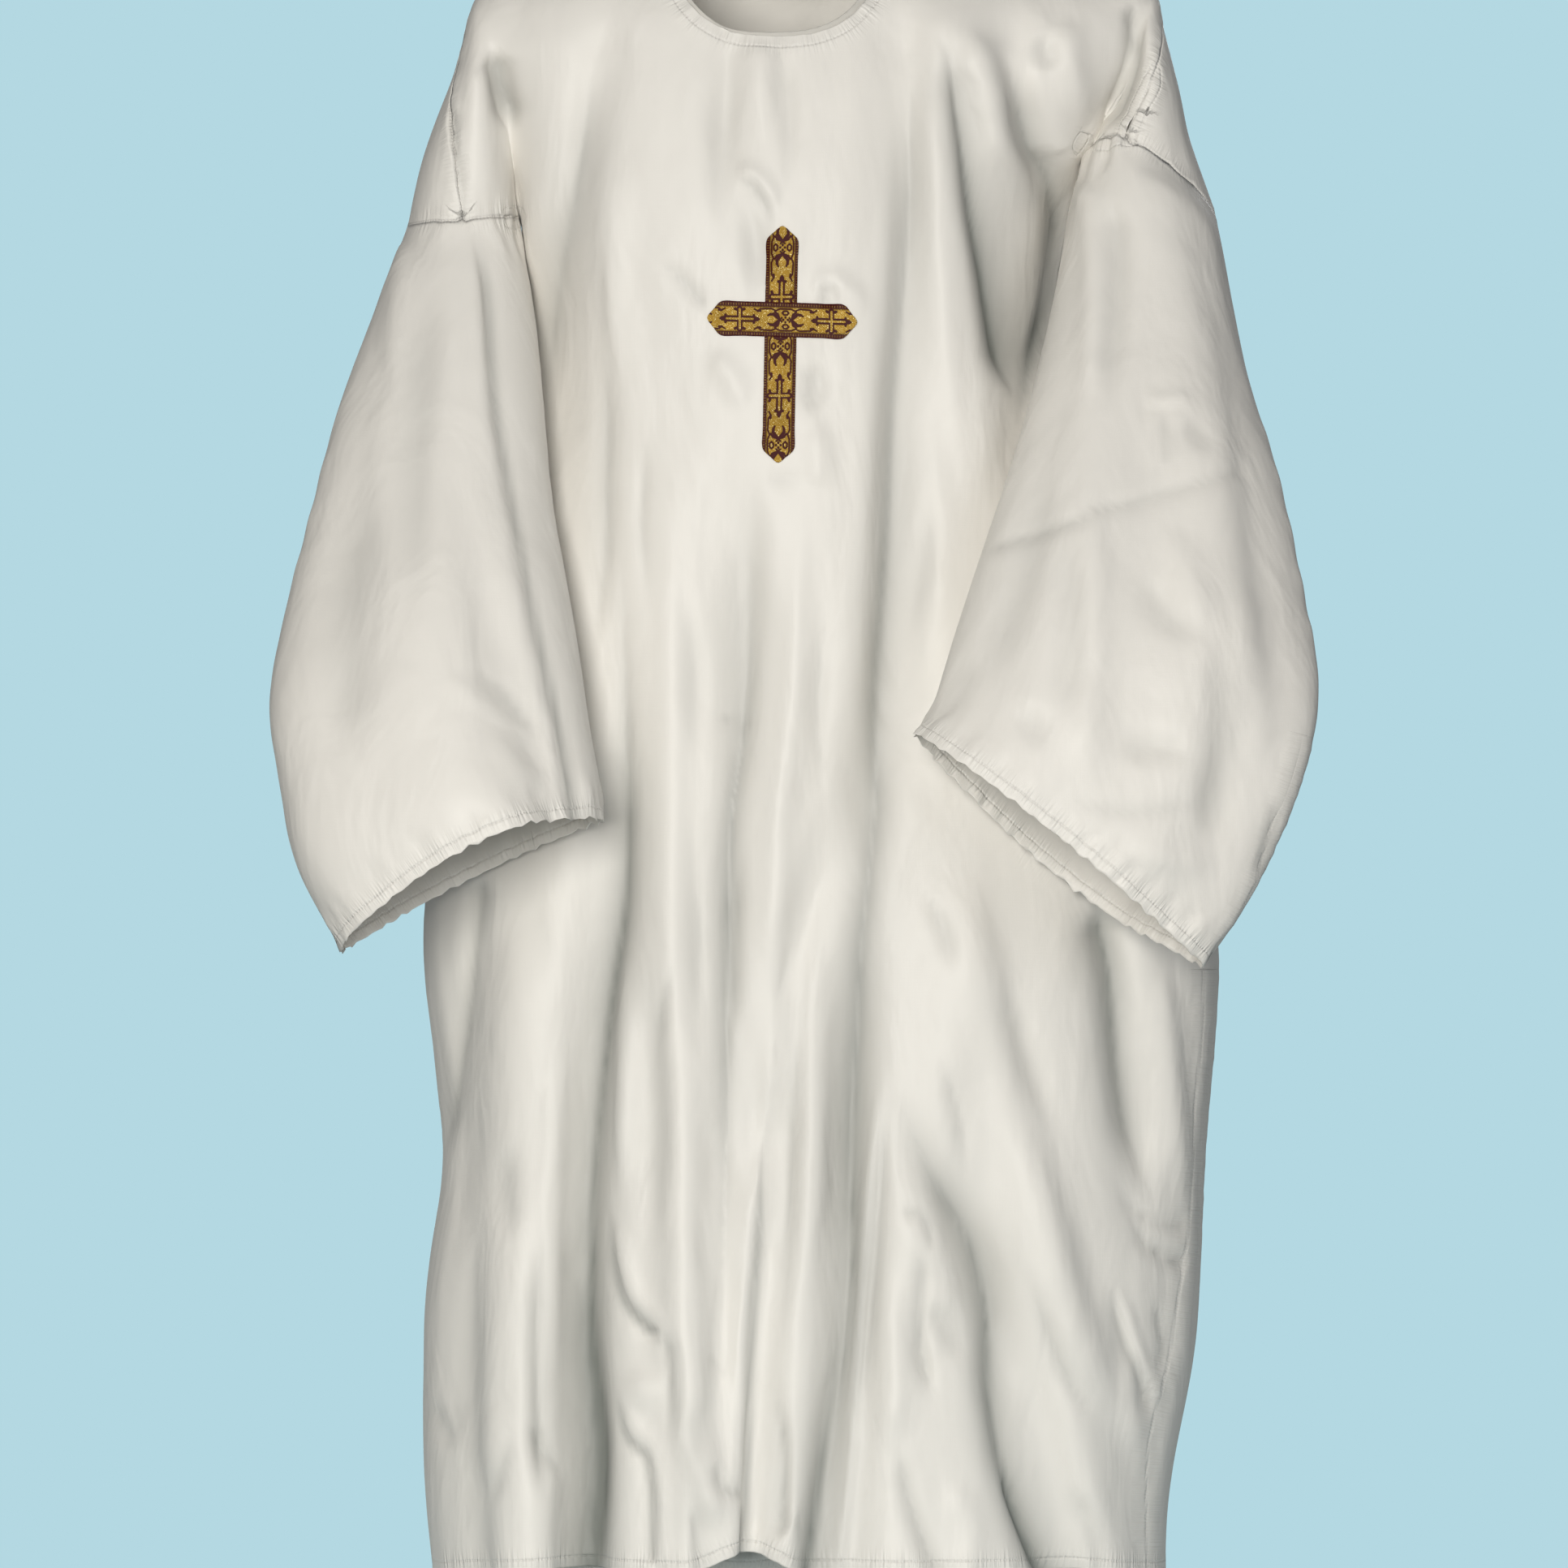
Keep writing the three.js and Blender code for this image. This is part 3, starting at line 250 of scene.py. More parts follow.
BACK_CREASES = [
    # The back, from the wearer's right to the left
    (BACK, "sharp", [(-204, -140), (-214, -230), (-222, -320)], 12, (7, 9), (0.2, 0.3)),
    (BACK, "sharp", [(-150, -130), (-168, -330), (-176, -560)], 14, (4, 7), (0.3, 0.3)),
    (BACK, "soft", [(-128, -150), (-138, -380), (-132, -620)], 12, (-3, -4), (0.3, 0.3)),
    (BACK, "sharp", [(-60, -100), (-62, -280), (-60, -460)], 12, (4, 5), (0.3, 0.4)),
    (BACK, "soft", [(60, -150), (52, -420), (44, -700)], 14, (-3, -5), (0.3, 0.3)),
    (BACK, "sharp", [(120, -120), (130, -350), (142, -620)], 13, (5, 7), (0.2, 0.3)),
    (BACK, "sharp", [(196, -150), (212, -240), (236, -330)], 12, (7, 9), (0.2, 0.3)),
    (BACK, "sharp", [(-190, -830), (-198, -1120), (-206, -1440)], 13, (6, 11), (0.3, 0)),
    (BACK, "lap", [(-160, -1060), (-152, -1220), (-158, -1380)], 9, (3, 5), (0.3, 0.2)),
    (BACK, "soft", [(-106, -780), (-112, -1080), (-118, -1440)], 13, (-4, -6), (0.3, 0)),
    (BACK, "sharp", [(-30, -640), (-26, -1000), (-34, -1440)], 13, (5, 11), (0.3, 0)),
    (BACK, "soft", [(-8, -700), (4, -980), (0, -1300)], 8, (-3, -4), (0.3, 0.3)),
    (BACK, "soft", [(62, -700), (60, -1050), (66, -1440)], 13, (-4, -6), (0.3, 0)),
    (BACK, "lap", [(92, -1080), (82, -1240), (90, -1400)], 9, (3, 5), (0.3, 0.1)),
    (BACK, "sharp", [(150, -800), (158, -1100), (166, -1440)], 13, (6, 11), (0.3, 0)),
    (BACK, "soft", [(206, -860), (226, -1150), (240, -1440)], 12, (-4, -5), (0.3, 0)),
    (BACK, "sharp", [(272, -900), (290, -1080), (284, -1230)], 10, (4, 4), (0.3, 0.3)),
    (BACK, "sharp", [(-96, -930), (-60, -1080), (-44, -1210)], 8, (3, 3), (0.3, 0.3)),
    (BACK, "sharp", [(238, -1180), (262, -1280), (250, -1372)], 7, (3, 3), (0.3, 0.3)),
    (BACK, "sharp", [(-270, -1230), (-250, -1300), (-262, -1372)], 7, (3, 2), (0.3, 0.3)),
    (BACK, "soft", [(20, -150), (-20, -190), (-70, -200)], 12, (-2, -2), (0.4, 0.4)),
    # The back of both sleeves
    (RIGHT, "soft", [(-300, -330), (-330, -560), (-336, -820)], 13, (4, 5), (0.3, 0.2)),
    (RIGHT, "sharp", [(-262, -340), (-256, -560), (-240, -760)], 9, (3, 4), (0.3, 0.2)),
    (RIGHT, "soft", [(-360, -420), (-390, -620), (-380, -800)], 11, (-3, -4), (0.3, 0.2)),
    (LEFT, "soft", [(330, -300), (352, -520), (340, -790)], 13, (4, 5), (0.3, 0.2)),
    (LEFT, "sharp", [(372, -420), (396, -590), (384, -740)], 9, (3, 4), (0.3, 0.2)),
    (LEFT, "soft", [(290, -360), (280, -540), (240, -680)], 11, (-3, -4), (0.3, 0.2)),
]


# Seams that show within a piece, as lines of the same kind: the side seam below the left sleeve, and
# the seam under that sleeve
SEWN_LINES = [
    (FRONT, [(363, -905), (361, -972), (354, -1034), (352, -1088), (349, -1142), (339, -1205),
             (334, -1245), (324, -1280), (314, -1333), (314, -1434)]),
    (LEFT, [(447, -706), (440, -738), (426, -778), (412, -826), (392, -868), (380, -888)]),
]


def along(points, places):
    """How far each place lies to the left of a line of points (right is negative), and how far
    along it from 0 to 1."""
    best = np.full(len(places), 1e9)
    side = np.zeros(len(places))
    run = np.zeros(len(places))
    lengths = [math.dist(a, b) for a, b in zip(points, points[1:])]
    total = sum(lengths)
    done = 0.0
    for (a, b), length in zip(zip(points, points[1:]), lengths):
        start = np.array(a)
        step = (np.array(b) - start) / length
        rel = places - start
        t = np.clip(rel @ step, 0, length)
        away = rel - t[:, None] * step
        distance = np.hypot(away[:, 0], away[:, 1])
        nearer = distance < best
        best[nearer] = distance[nearer]
        cross = step[0] * rel[:, 1] - step[1] * rel[:, 0]
        side[nearer] = np.sign(cross)[nearer]
        run[nearer] = ((done + t) / total)[nearer]
        done += length
    return best * side, run


def rise(value, start, end):
    """From 0 at the start to 1 at the end, smoothly."""
    t = np.clip((value - start) / (end - start), 0, 1)
    return t * t * (3 - 2 * t)


def crease_shape(kind, s):
    """The depth of a crease across its width, and how much painted shade it gets there. `s` is
    the distance from its line in widths. A lap drops at once, rises slowly and stands proud beside."""
    round_shape = np.exp(-s * s)
    if kind == "soft":
        return round_shape, SOFT_SHADE * round_shape
    if kind == "sharp":
        pinched = np.exp(-np.abs(s) * PINCH)
        return 0.5 * pinched + 0.5 * round_shape, np.exp(-np.abs(s) * SHARP_SHADE)
    over = np.exp(-np.clip(s, 0, None) * 1.3) * rise(s, -0.25, 0.3)
    return over - 0.45 * np.exp(-((s + 0.55) / 0.6) ** 2), np.exp(-((s - 0.4) / 0.4) ** 2)


def crease_at(kind, points, width, depths, ends, places):
    """One crease's depth in millimetres at each place, and how much painted shade it gets there. It
    narrows and fades out towards its ends and is a little uneven along its length, as creases in cloth
    are."""
    side, run = along(smooth_line(points), places)
    fade = np.ones(len(places))
    if ends[0]:
        fade *= rise(run, 0, ends[0])
    if ends[1]:
        fade *= rise(1 - run, 0, ends[1])
    start = points[0][0]
    side = side + WANDER * np.sin(places[:, 1] / WANDER_LENGTH + start)
    uneven = 1 + UNEVENNESS * np.sin(places[:, 1] / UNEVEN_LENGTH + 3 * start)
    depth = (depths[0] + (depths[1] - depths[0]) * run) * uneven
    shape, shade = crease_shape(kind, side / (WIDER * width * (0.5 + 0.5 * fade)))
    return depth * shape * fade, np.clip(depth * shade * fade, 0, None) / PAINTED_SHADE_DEPTH


def smooth_line(points, parts=6):
    """A curve through a few places, so that a crease bends and has no corners."""
    if len(points) < 3:
        return points
    line = []
    for i in range(len(points) - 1):
        p0 = points[max(i - 1, 0)]
        p1, p2 = points[i], points[i + 1]
        p3 = points[min(i + 2, len(points) - 1)]
        for k in range(parts):
            t = k / parts
            line.append(tuple(
                0.5 * (2 * b + (c - a) * t + (2 * a - 5 * b + 4 * c - d) * t * t
                       + (3 * b - a - 3 * c + d) * t ** 3)
                for a, b, c, d in zip(p0, p1, p2, p3)
            ))
    return line + [points[-1]]


def seen_from(co, face):
    """Where vertices appear in the view from in front (-1) or from behind (1), in millimetres."""
    shrink = VIEW_DISTANCE / (VIEW_DISTANCE - face * co[:, 1])
    return np.stack([co[:, 0] * shrink, VIEW_HEIGHT + (co[:, 2] - VIEW_HEIGHT) * shrink], 1) / MM


def crease_field(co, normals, in_piece):
    """How deep all creases together go in at each vertex, in metres, and how much painted shade they
    give it, from 0 to 1."""
    total = np.zeros(len(co))
    painted_crease_shade = np.zeros(len(co))
    for creases, face in ((FRONT_CREASES, -1), (BACK_CREASES, 1)):
        seen = seen_from(co, face)
        facing = rise(normals[:, 1] * face, *TURNED_AWAY)
        for piece, kind, points, width, depths, ends in creases:
            low = np.min(points, 0) - CREASE_REACH * width
            high = np.max(points, 0) + CREASE_REACH * width
            near = np.where(in_piece[piece] & (facing > 0) & np.all((seen > low) & (seen < high), 1))[0]
            if not len(near):
                continue
            depth, shade = crease_at(kind, points, width, depths, ends, seen[near])
            total[near] += depth * facing[near] * DEEPER * MM
            painted_crease_shade[near] += shade * facing[near]
    return total, np.clip(painted_crease_shade, 0, 1)


# ------------------------------
# Cloth

# The thicknesses of the solid walls, which their edge bands show
WALLS = (1.1 * MM, 1.2 * MM, 1.6 * MM, 2.8 * MM)
WALL_TOLERANCE = 0.004 * MM
# Points nearer than this are one point, within a solid and where two pieces are sewn together
SAME_POINT = 0.02 * MM
SEAM_GAP = 0.9 * MM
# An upright edge longer than this is halved before it is smoothed
LONG_EDGE = 30 * MM
UPRIGHT = 0.6
# Levels of smoothing, how often a smoothed skin is drawn back towards its points, and how far each time
CLOTH_LEVELS = 2
STRIP_LEVELS = 3
TRUING_ROUNDS = 2
TRUING_SHARE = 0.8


def crosses_wall(edge):
    return any(abs(edge.calc_length() - wall) < WALL_TOLERANCE for wall in WALLS)


def outer_skin(node):
    """The outside of a piece's wall, without its inside and its edges."""
    bm = bmesh.new()
    bm.from_mesh(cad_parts[node].data)
    bmesh.ops.remove_doubles(bm, verts=bm.verts, dist=SAME_POINT)
    rim = [f for f in bm.faces if any(crosses_wall(e) for e in f.edges)]
    bmesh.ops.delete(bm, geom=rim, context="FACES")
    bm.faces.ensure_lookup_table()
    seen = set()
    inner = []
    for first in bm.faces:
        if first in seen:
            continue
        shell, queue = [], [first]
        seen.add(first)
        while queue:
            face = queue.pop()
            shell.append(face)
            for edge in face.edges:
                for other in edge.link_faces:
                    if other not in seen:
                        seen.add(other)
                        queue.append(other)
        centre = sum((f.calc_center_median() for f in shell), Vector()) / len(shell)
        outward = sum(f.normal.dot(f.calc_center_median() - centre) * f.calc_area() for f in shell)
        if outward < 0:
            inner += shell
    bmesh.ops.delete(bm, geom=inner, context="FACES")
    loose = [v for v in bm.verts if not v.link_faces]
    bmesh.ops.delete(bm, geom=loose, context="VERTS")
    return bm


def evaluated(holder):
    """The mesh of an object with its modifiers applied."""
    return bpy.data.meshes.new_from_object(holder.evaluated_get(bpy.context.evaluated_depsgraph_get()))


def smoothed(bm, levels, name):
    """The mesh of a bmesh under a subdivision surface that still passes through its points."""
    rough = bpy.data.meshes.new(name)
    bm.to_mesh(rough)
    bm.free()
    holder = bpy.data.objects.new(name, rough)
    bpy.context.scene.collection.objects.link(holder)
    surface = holder.modifiers.new("smooth", "SUBSURF")
    surface.levels = surface.render_levels = levels
    surface.boundary_smooth = "PRESERVE_CORNERS"
    wanted = coordinates(rough)
    for _ in range(TRUING_ROUNDS):
        fine = evaluated(holder)
        short = wanted - coordinates(fine)[:len(wanted)]
        bpy.data.meshes.remove(fine)
        rough.vertices.foreach_set("co", (coordinates(rough) + TRUING_SHARE * short).ravel())
        rough.update()
        holder.update_tag()
    fine = evaluated(holder)
    bpy.data.objects.remove(holder)
    bpy.data.meshes.remove(rough)
    return fine


def joined_garment():
    """All cloth pieces as one smooth skin, sewn together, with each face's piece as its material."""
    whole = bmesh.new()
    for number, node in enumerate(CLOTH_PIECES):
        skin = outer_skin(node)
        for face in skin.faces:
            face.material_index = number
        part = bpy.data.meshes.new(node + "_skin")
        skin.to_mesh(part)
        skin.free()
        whole.from_mesh(part)
        bpy.data.meshes.remove(part)
    bmesh.ops.remove_doubles(whole, verts=whole.verts, dist=SEAM_GAP)
    bmesh.ops.join_triangles(
        whole, faces=whole.faces, cmp_materials=True,
        angle_face_threshold=math.pi, angle_shape_threshold=math.pi,
    )
    long = [
        e for e in whole.edges
        if e.calc_length() > LONG_EDGE
        and abs(e.verts[0].co.z - e.verts[1].co.z) > UPRIGHT * e.calc_length()
    ]
    bmesh.ops.subdivide_edges(whole, edges=long, cuts=1, smooth=0.8, use_grid_fill=True)
    for face in whole.faces:
        face.smooth = True
    return smoothed(whole, CLOTH_LEVELS, "garment")


def coordinates(mesh):
    co = np.zeros(len(mesh.vertices) * 3)
    mesh.vertices.foreach_get("co", co)
    return co.reshape(-1, 3)


def vertex_normals(mesh):
    normals = np.zeros(len(mesh.vertices) * 3, np.float32)
    mesh.vertex_normals.foreach_get("vector", normals)
    return normals.reshape(-1, 3).astype(float)


def chains(edges, co):
    """Edges of a mesh as lines of vertices. A closed line starts at its outermost vertex."""
    links = {}
    for a, b in edges:
        links.setdefault(a, []).append(b)
        links.setdefault(b, []).append(a)
    lines, used = [], set()
    starts = [v for v in links if len(links[v]) != 2] + sorted(links, key=lambda v: -abs(co[v][0]))
    for start in starts:
        for second in links[start]:
            if frozenset((start, second)) in used:
                continue
            line = [start, second]
            used.add(frozenset((start, second)))
            while len(links[line[-1]]) == 2:
                onward = [v for v in links[line[-1]] if frozenset((line[-1], v)) not in used]
                if not onward:
                    break
                used.add(frozenset((line[-1], onward[0])))
                line.append(onward[0])
            lines.append(line)
    return lines


def follow(co, lines):
    """Each vertex's distance from the nearest of some lines, and how far along it that is."""
    tree = kdtree.KDTree(sum(len(line) for line in lines))
    places, tangents, runs = [], [], []
    for line in lines:
        points = co[line]
        steps = np.linalg.norm(np.diff(points, axis=0), axis=1)
        run = np.concatenate([[0], np.cumsum(steps)])
        tangent = np.gradient(points, axis=0)
        tangent /= np.linalg.norm(tangent, axis=1)[:, None] + 1e-12
        for i in range(len(line)):
            tree.insert(points[i], len(places))
            places.append(points[i])
            tangents.append(tangent[i])
            runs.append(run[i])
    tree.balance()
    away = np.zeros(len(co))
    run = np.zeros(len(co))
    for i, point in enumerate(co):
        _, k, _ = tree.find(point)
        rel = point - places[k]
        step = rel @ tangents[k]
        away[i] = np.linalg.norm(rel - step * tangents[k])
        run[i] = runs[k] + step
    return away, run


def put(mesh, name, values):
    attribute = mesh.attributes.new(name, "FLOAT", "POINT")
    attribute.data.foreach_set("value", values.astype(np.float32))


def garment_edges(mesh):
    """The open edges of the garment, and its seams between two pieces."""
    bm = bmesh.new()
    bm.from_mesh(mesh)
    open_edges = [tuple(v.index for v in e.verts) for e in bm.edges if len(e.link_faces) == 1]
    seams = [
        tuple(v.index for v in e.verts) for e in bm.edges
        if len(e.link_faces) == 2 and e.link_faces[0].material_index != e.link_faces[1].material_index
    ]
    bm.free()
    return open_edges, seams


def vertices_of_pieces(mesh):
    """For each piece, which vertices it has. Those on a seam are in both of its pieces."""
    piece_of = np.zeros(len(mesh.polygons), np.int32)
    mesh.polygons.foreach_get("material_index", piece_of)
    in_piece = np.zeros((len(CLOTH_PIECES), len(mesh.vertices)), bool)
    for polygon in mesh.polygons:
        in_piece[piece_of[polygon.index], list(polygon.vertices)] = True
    return in_piece


def add_sewn_lines(co, normals, in_piece, seam, seam_run):
    """Count the seams within a piece with the seams between two pieces."""
    for piece, points in SEWN_LINES:
        near = np.where(in_piece[piece] & (normals[:, 1] < 0.1))[0]
        side, run = along(smooth_line(points), seen_from(co, -1)[near])
        closer = (np.abs(side) * MM < seam[near]) & (run > 0) & (run < 1)
        seam[near[closer]] = np.abs(side[closer]) * MM
        seam_run[near[closer]] = run[closer] * math.dist(points[0], points[-1]) * MM


def puckered(kind, run, away):
    """How far a kind of pucker goes in at places along an edge or seam, in metres."""
    one = np.sin(run / (kind.length * MM) * 2 * math.pi + kind.start)
    longer = np.sin(run / (kind.longer * MM) * 2 * math.pi + kind.longer_start)
    beside = np.exp(-((away - kind.away * MM) / (kind.spread * MM)) ** 2)
    return kind.height * MM * one * (kind.even + (1 - kind.even) * longer) * beside


def press_under_arms(co, in_body):
    for toward, out, back, heights in UNDER_ARMS:
        outward = co[:, 0] * toward
        share = np.interp(co[:, 2] / MM, *zip(*heights)) * in_body
        share *= rise(outward, *PRESSED_FROM) * (1 - rise(outward, *PRESSED_TO))
        co[:, 0] += toward * out * MM * share
        co[:, 1] += back * MM * share


def dress():
    """The garment's smooth skin with its creases and puckers, ready to be parted into pieces."""
    mesh = joined_garment()
    co = coordinates(mesh)
    normals = vertex_normals(mesh)
    in_piece = vertices_of_pieces(mesh)
    open_edges, seams = garment_edges(mesh)
    hem, hem_run = follow(co, chains(open_edges, co))
    seam, seam_run = follow(co, chains(seams, co))
    add_sewn_lines(co, normals, in_piece, seam, seam_run)
    depth, painted_crease_shade = crease_field(co, normals, in_piece)
    at_cuff = in_piece[RIGHT] | in_piece[LEFT]
    at_edge = puckered(CUFF_PUCKERS, hem_run, hem) + puckered(CUFF_GATHERS, hem_run, hem)
    depth += np.where(at_cuff, at_edge, puckered(HEM_PUCKERS, hem_run, hem))
    depth += puckered(SEAM_PUCKERS, seam_run, seam)
    co -= normals * depth[:, None]
    press_under_arms(co, (in_piece[FRONT] | in_piece[BACK]) & ~at_cuff)
    co[:, 2] += np.where(at_cuff, puckered(CUFF_SCALLOPS, hem_run, hem), 0)
    mesh.vertices.foreach_set("co", co.ravel())
    put(mesh, "hem", hem)
    put(mesh, "hem_run", hem_run)
    put(mesh, "seam", seam)
    put(mesh, "seam_run", seam_run)
    put(mesh, "painted_crease_shade", painted_crease_shade)
    mesh.update()
    return mesh


def add_piece(mesh, name, node, material):
    mesh.materials.clear()
    mesh.materials.append(material)
    piece = bpy.data.objects.new(name, mesh)
    bpy.context.scene.collection.objects.link(piece)
    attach(piece, "root")
    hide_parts(node)
    return piece


def thicken(piece, thickness):
    wall = piece.modifiers.new("wall", "SOLIDIFY")
    wall.thickness = thickness
    wall.offset = -1
    wall.use_even_offset = False


def part_off(mesh, number, name):
    """The faces of one piece of the garment, as a mesh of their own."""
    bm = bmesh.new()
    bm.from_mesh(mesh)
    others = [f for f in bm.faces if f.material_index != number]
    bmesh.ops.delete(bm, geom=others, context="FACES")
    for face in bm.faces:
        face.material_index = 0
        face.smooth = True
    part = bpy.data.meshes.new(name)
    bm.to_mesh(part)
    bm.free()
    return part


def smoothed_outside(node, levels, name):
    """The outside of a solid that is laid on the robe, smoothed."""
    skin = outer_skin(node)
    for face in skin.faces:
        face.smooth = True
    return smoothed(skin, levels, name)


def laid_strip(node, name):
    """A strip of galloon, moved in step with the cloth it lies on."""
    mesh = smoothed_outside(node, STRIP_LEVELS, name)
    co = coordinates(mesh)
    normals = vertex_normals(mesh)
    in_piece = np.zeros((len(CLOTH_PIECES), len(co)), bool)
    in_piece[FRONT] = True
    depth, _ = crease_field(co, normals, in_piece)
    co -= normals * depth[:, None]
    mesh.vertices.foreach_set("co", co.ravel())
    mesh.update()
    return mesh


def plain_facing(name):
    """The neck facing, without puckers: it is all far from a hem and a seam."""
    mesh = smoothed_outside("neck_facing", CLOTH_LEVELS, name)
    for place in ("hem", "seam"):
        put(mesh, place, np.ones(len(mesh.vertices)))
    for place in ("hem_run", "seam_run", "painted_crease_shade"):
        put(mesh, place, np.zeros(len(mesh.vertices)))
    return mesh


# ------------------------------
# Materials

# The share of the light that passes through one layer of the cloth
THROUGH_SHARE = 0.16


def linear(hex_colour):
    """An sRGB hex colour as linear red, green, blue and alpha."""
    values = [int(hex_colour[i:i + 2], 16) / 255 for i in (1, 3, 5)]
    return [v / 12.92 if v <= 0.04045 else ((v + 0.055) / 1.055) ** 2.4 for v in values] + [1.0]


def add(tree, kind, inputs=None, **settings):
    """One node with its settings. An input is a value or another node's socket."""
    made = tree.nodes.new("ShaderNode" + kind)
    for key, value in settings.items():
        setattr(made, key, value)
    for key, value in (inputs or {}).items():
        if isinstance(value, bpy.types.NodeSocket):
            tree.links.new(value, made.inputs[key])
        else:
            made.inputs[key].default_value = value
    return made


def sums(tree, operation, first, second=0.0, third=0.0):
    return add(tree, "Math", {0: first, 1: second, 2: third}, operation=operation).outputs[0]


def new_material(name):
    material = bpy.data.materials.new(name)
    material.use_nodes = True
    material.node_tree.nodes.clear()
    return material, material.node_tree


def finish_material(tree, shader_inputs, through=None):
    """The shader and the output. `through` is the colour of light that passes a thin cloth."""
    shader = add(tree, "BsdfPrincipled", shader_inputs)
    if through:
        glow = add(tree, "BsdfTranslucent", {"Color": through, "Normal": shader_inputs["Normal"]})
        shader = add(tree, "MixShader", {0: THROUGH_SHARE, 1: shader.outputs[0], 2: glow.outputs[0]})
    output = add(tree, "OutputMaterial")
    tree.links.new(shader.outputs[0], output.inputs["Surface"])


def bell(tree, value, centre, width):
    """1 at the centre, falling off to 0 over the width."""
    away = sums(tree, "DIVIDE", sums(tree, "SUBTRACT", value, centre), width)
    return sums(tree, "EXPONENT", sums(tree, "MULTIPLY", sums(tree, "MULTIPLY", away, away), -1.0))


def rise_node(tree, value, start, end):
    return add(tree, "MapRange", {"Value": value, "From Min": start, "From Max": end},
               interpolation_type="SMOOTHSTEP").outputs[0]


def stitching(tree, edge, line_at, pull_scale, pucker_at, pucker_spread):
    """Stitching along an edge or seam: the line it draws in, its 2.5 mm stitches, drawn as 3 mm, and
    the puckers that the thread pulls into the cloth. Distances are in millimetres."""
    away = add(tree, "Attribute", attribute_name=edge).outputs["Fac"]
    run = add(tree, "Attribute", attribute_name=edge + "_run").outputs["Fac"]
    line = bell(tree, away, line_at * MM, 1.0 * MM)
    stitch = sums(tree, "SINE", sums(tree, "MULTIPLY", run, 2 * math.pi / (3 * MM)))
    pull = add(tree, "TexNoise", {"W": sums(tree, "MULTIPLY", run, pull_scale), "Detail": 1.0},
               noise_dimensions="1D").outputs["Fac"]
    puckers = sums(tree, "MULTIPLY", pull, bell(tree, away, pucker_at * MM, pucker_spread * MM))
    return line, sums(tree, "MULTIPLY", line, stitch), puckers


def poplin(name, colour, shade):
    """White cotton-blend poplin, plain woven and pressed: a fine even cloth with a faint lustre, small
    slubs, and stitched edges whose thread draws the cloth into little puckers."""
    material, tree = new_material(name)
    place = add(tree, "TexCoord").outputs["Object"]

    # Slubs: thicker threads down and across the cloth, some 20 mm long and drawn 0.8 mm wide
    down = add(tree, "Mapping", {"Vector": place, "Scale": (1.0, 1.0, 0.05)}).outputs[0]
    across = add(tree, "Mapping", {"Vector": place, "Scale": (0.06, 0.06, 1.0)}).outputs[0]
    warp = add(tree, "TexNoise", {"Vector": down, "Scale": 900.0, "Detail": 2.0}).outputs["Fac"]
    weft = add(tree, "TexNoise", {"Vector": across, "Scale": 900.0, "Detail": 2.0}).outputs["Fac"]
    weave = sums(tree, "ADD", warp, weft)
    # Small soft wrinkles of 15 to 80 mm, longer than wide
    loose = add(tree, "Mapping", {"Vector": place, "Scale": (1.0, 1.0, 0.45)}).outputs[0]
    wrinkles = add(tree, "TexNoise", {"Vector": loose, "Scale": 17.0, "Detail": 3.0, "Roughness": 0.5,
                                      "Distortion": 0.4}).outputs["Fac"]

    # The hem's stitches lie 9.5 mm from its edge, and a seam's beside the seam
    hem_line, hem_stitches, hem_puckers = stitching(tree, "hem", 9.5, 70.0, 9.0, 8.0)
    seam_line, seam_stitches, seam_puckers = stitching(tree, "seam", 0.5, 75.0, 6.0, 6.0)

    # How high each of these stands, in millimetres
    height = 0.0
    for layer, stands in (
        (weave, 0.05), (wrinkles, 5.0),
        (hem_line, -0.55), (hem_stitches, 0.2), (hem_puckers, 1.1),
        (seam_line, -0.45), (seam_stitches, 0.15), (seam_puckers, 0.6),
    ):
        height = sums(tree, "MULTIPLY_ADD", layer, stands, height)
    bump = add(tree, "Bump", {"Height": height, "Strength": 1.0, "Distance": MM})

    # Painted shade: the cloth's colour is darkened towards a grey where it lies in the creases between
    # folds, for the shade there
    painted_crease_shade = add(tree, "Attribute", attribute_name="painted_crease_shade").outputs["Fac"]
    lit = sums(tree, "SUBTRACT", 1.0, painted_crease_shade)
    base = add(tree, "Mix", {0: lit, 6: linear(shade), 7: linear(colour)}, data_type="RGBA")
    finish_material(tree, {
        "Base Color": base.outputs[2],
        "Roughness": 0.5,
        "Specular IOR Level": 0.45,
        "Sheen Weight": 0.1,
        "Sheen Roughness": 0.4,
        "Normal": bump.outputs[0],
    }, through=linear(colour))
    return material


# The figures of the galloon, in millimetres: how far a place is to the side of the strip's middle and
# how far from a knot towards the next cross. Each stroke has its two ends and half its thickness.
HALF_REPEAT = 42
KNOT = [
    # The leaves above the knot, and the pair of longer leaves beyond them
    ((1.0, 6.2), (4.6, 7.4), 1.1),
    ((4.6, 7.4), (6.6, 9.6), 0.7),
    ((1.6, 7.0), (4.6, 11.0), 1.1),
    ((4.6, 11.0), (4.4, 14.0), 0.9),
    ((4.4, 14.0), (3.4, 16.0), 0.5),
    # The two rings and the threads that tie them
    ((4.3, 0.0), (4.3, 1.4), 0.5),
    ((4.3, 1.4), (5.8, 2.9), 0.5),
    ((5.8, 2.9), (7.3, 1.4), 0.5),
    ((7.3, 1.4), (7.3, 0.0), 0.5),
    ((0.0, 1.9), (0.0, 2.3), 0.7),
    ((1.9, 0.0), (2.1, 0.0), 0.7),
    ((0.0, 5.0), (1.8, 3.4), 0.45),
]
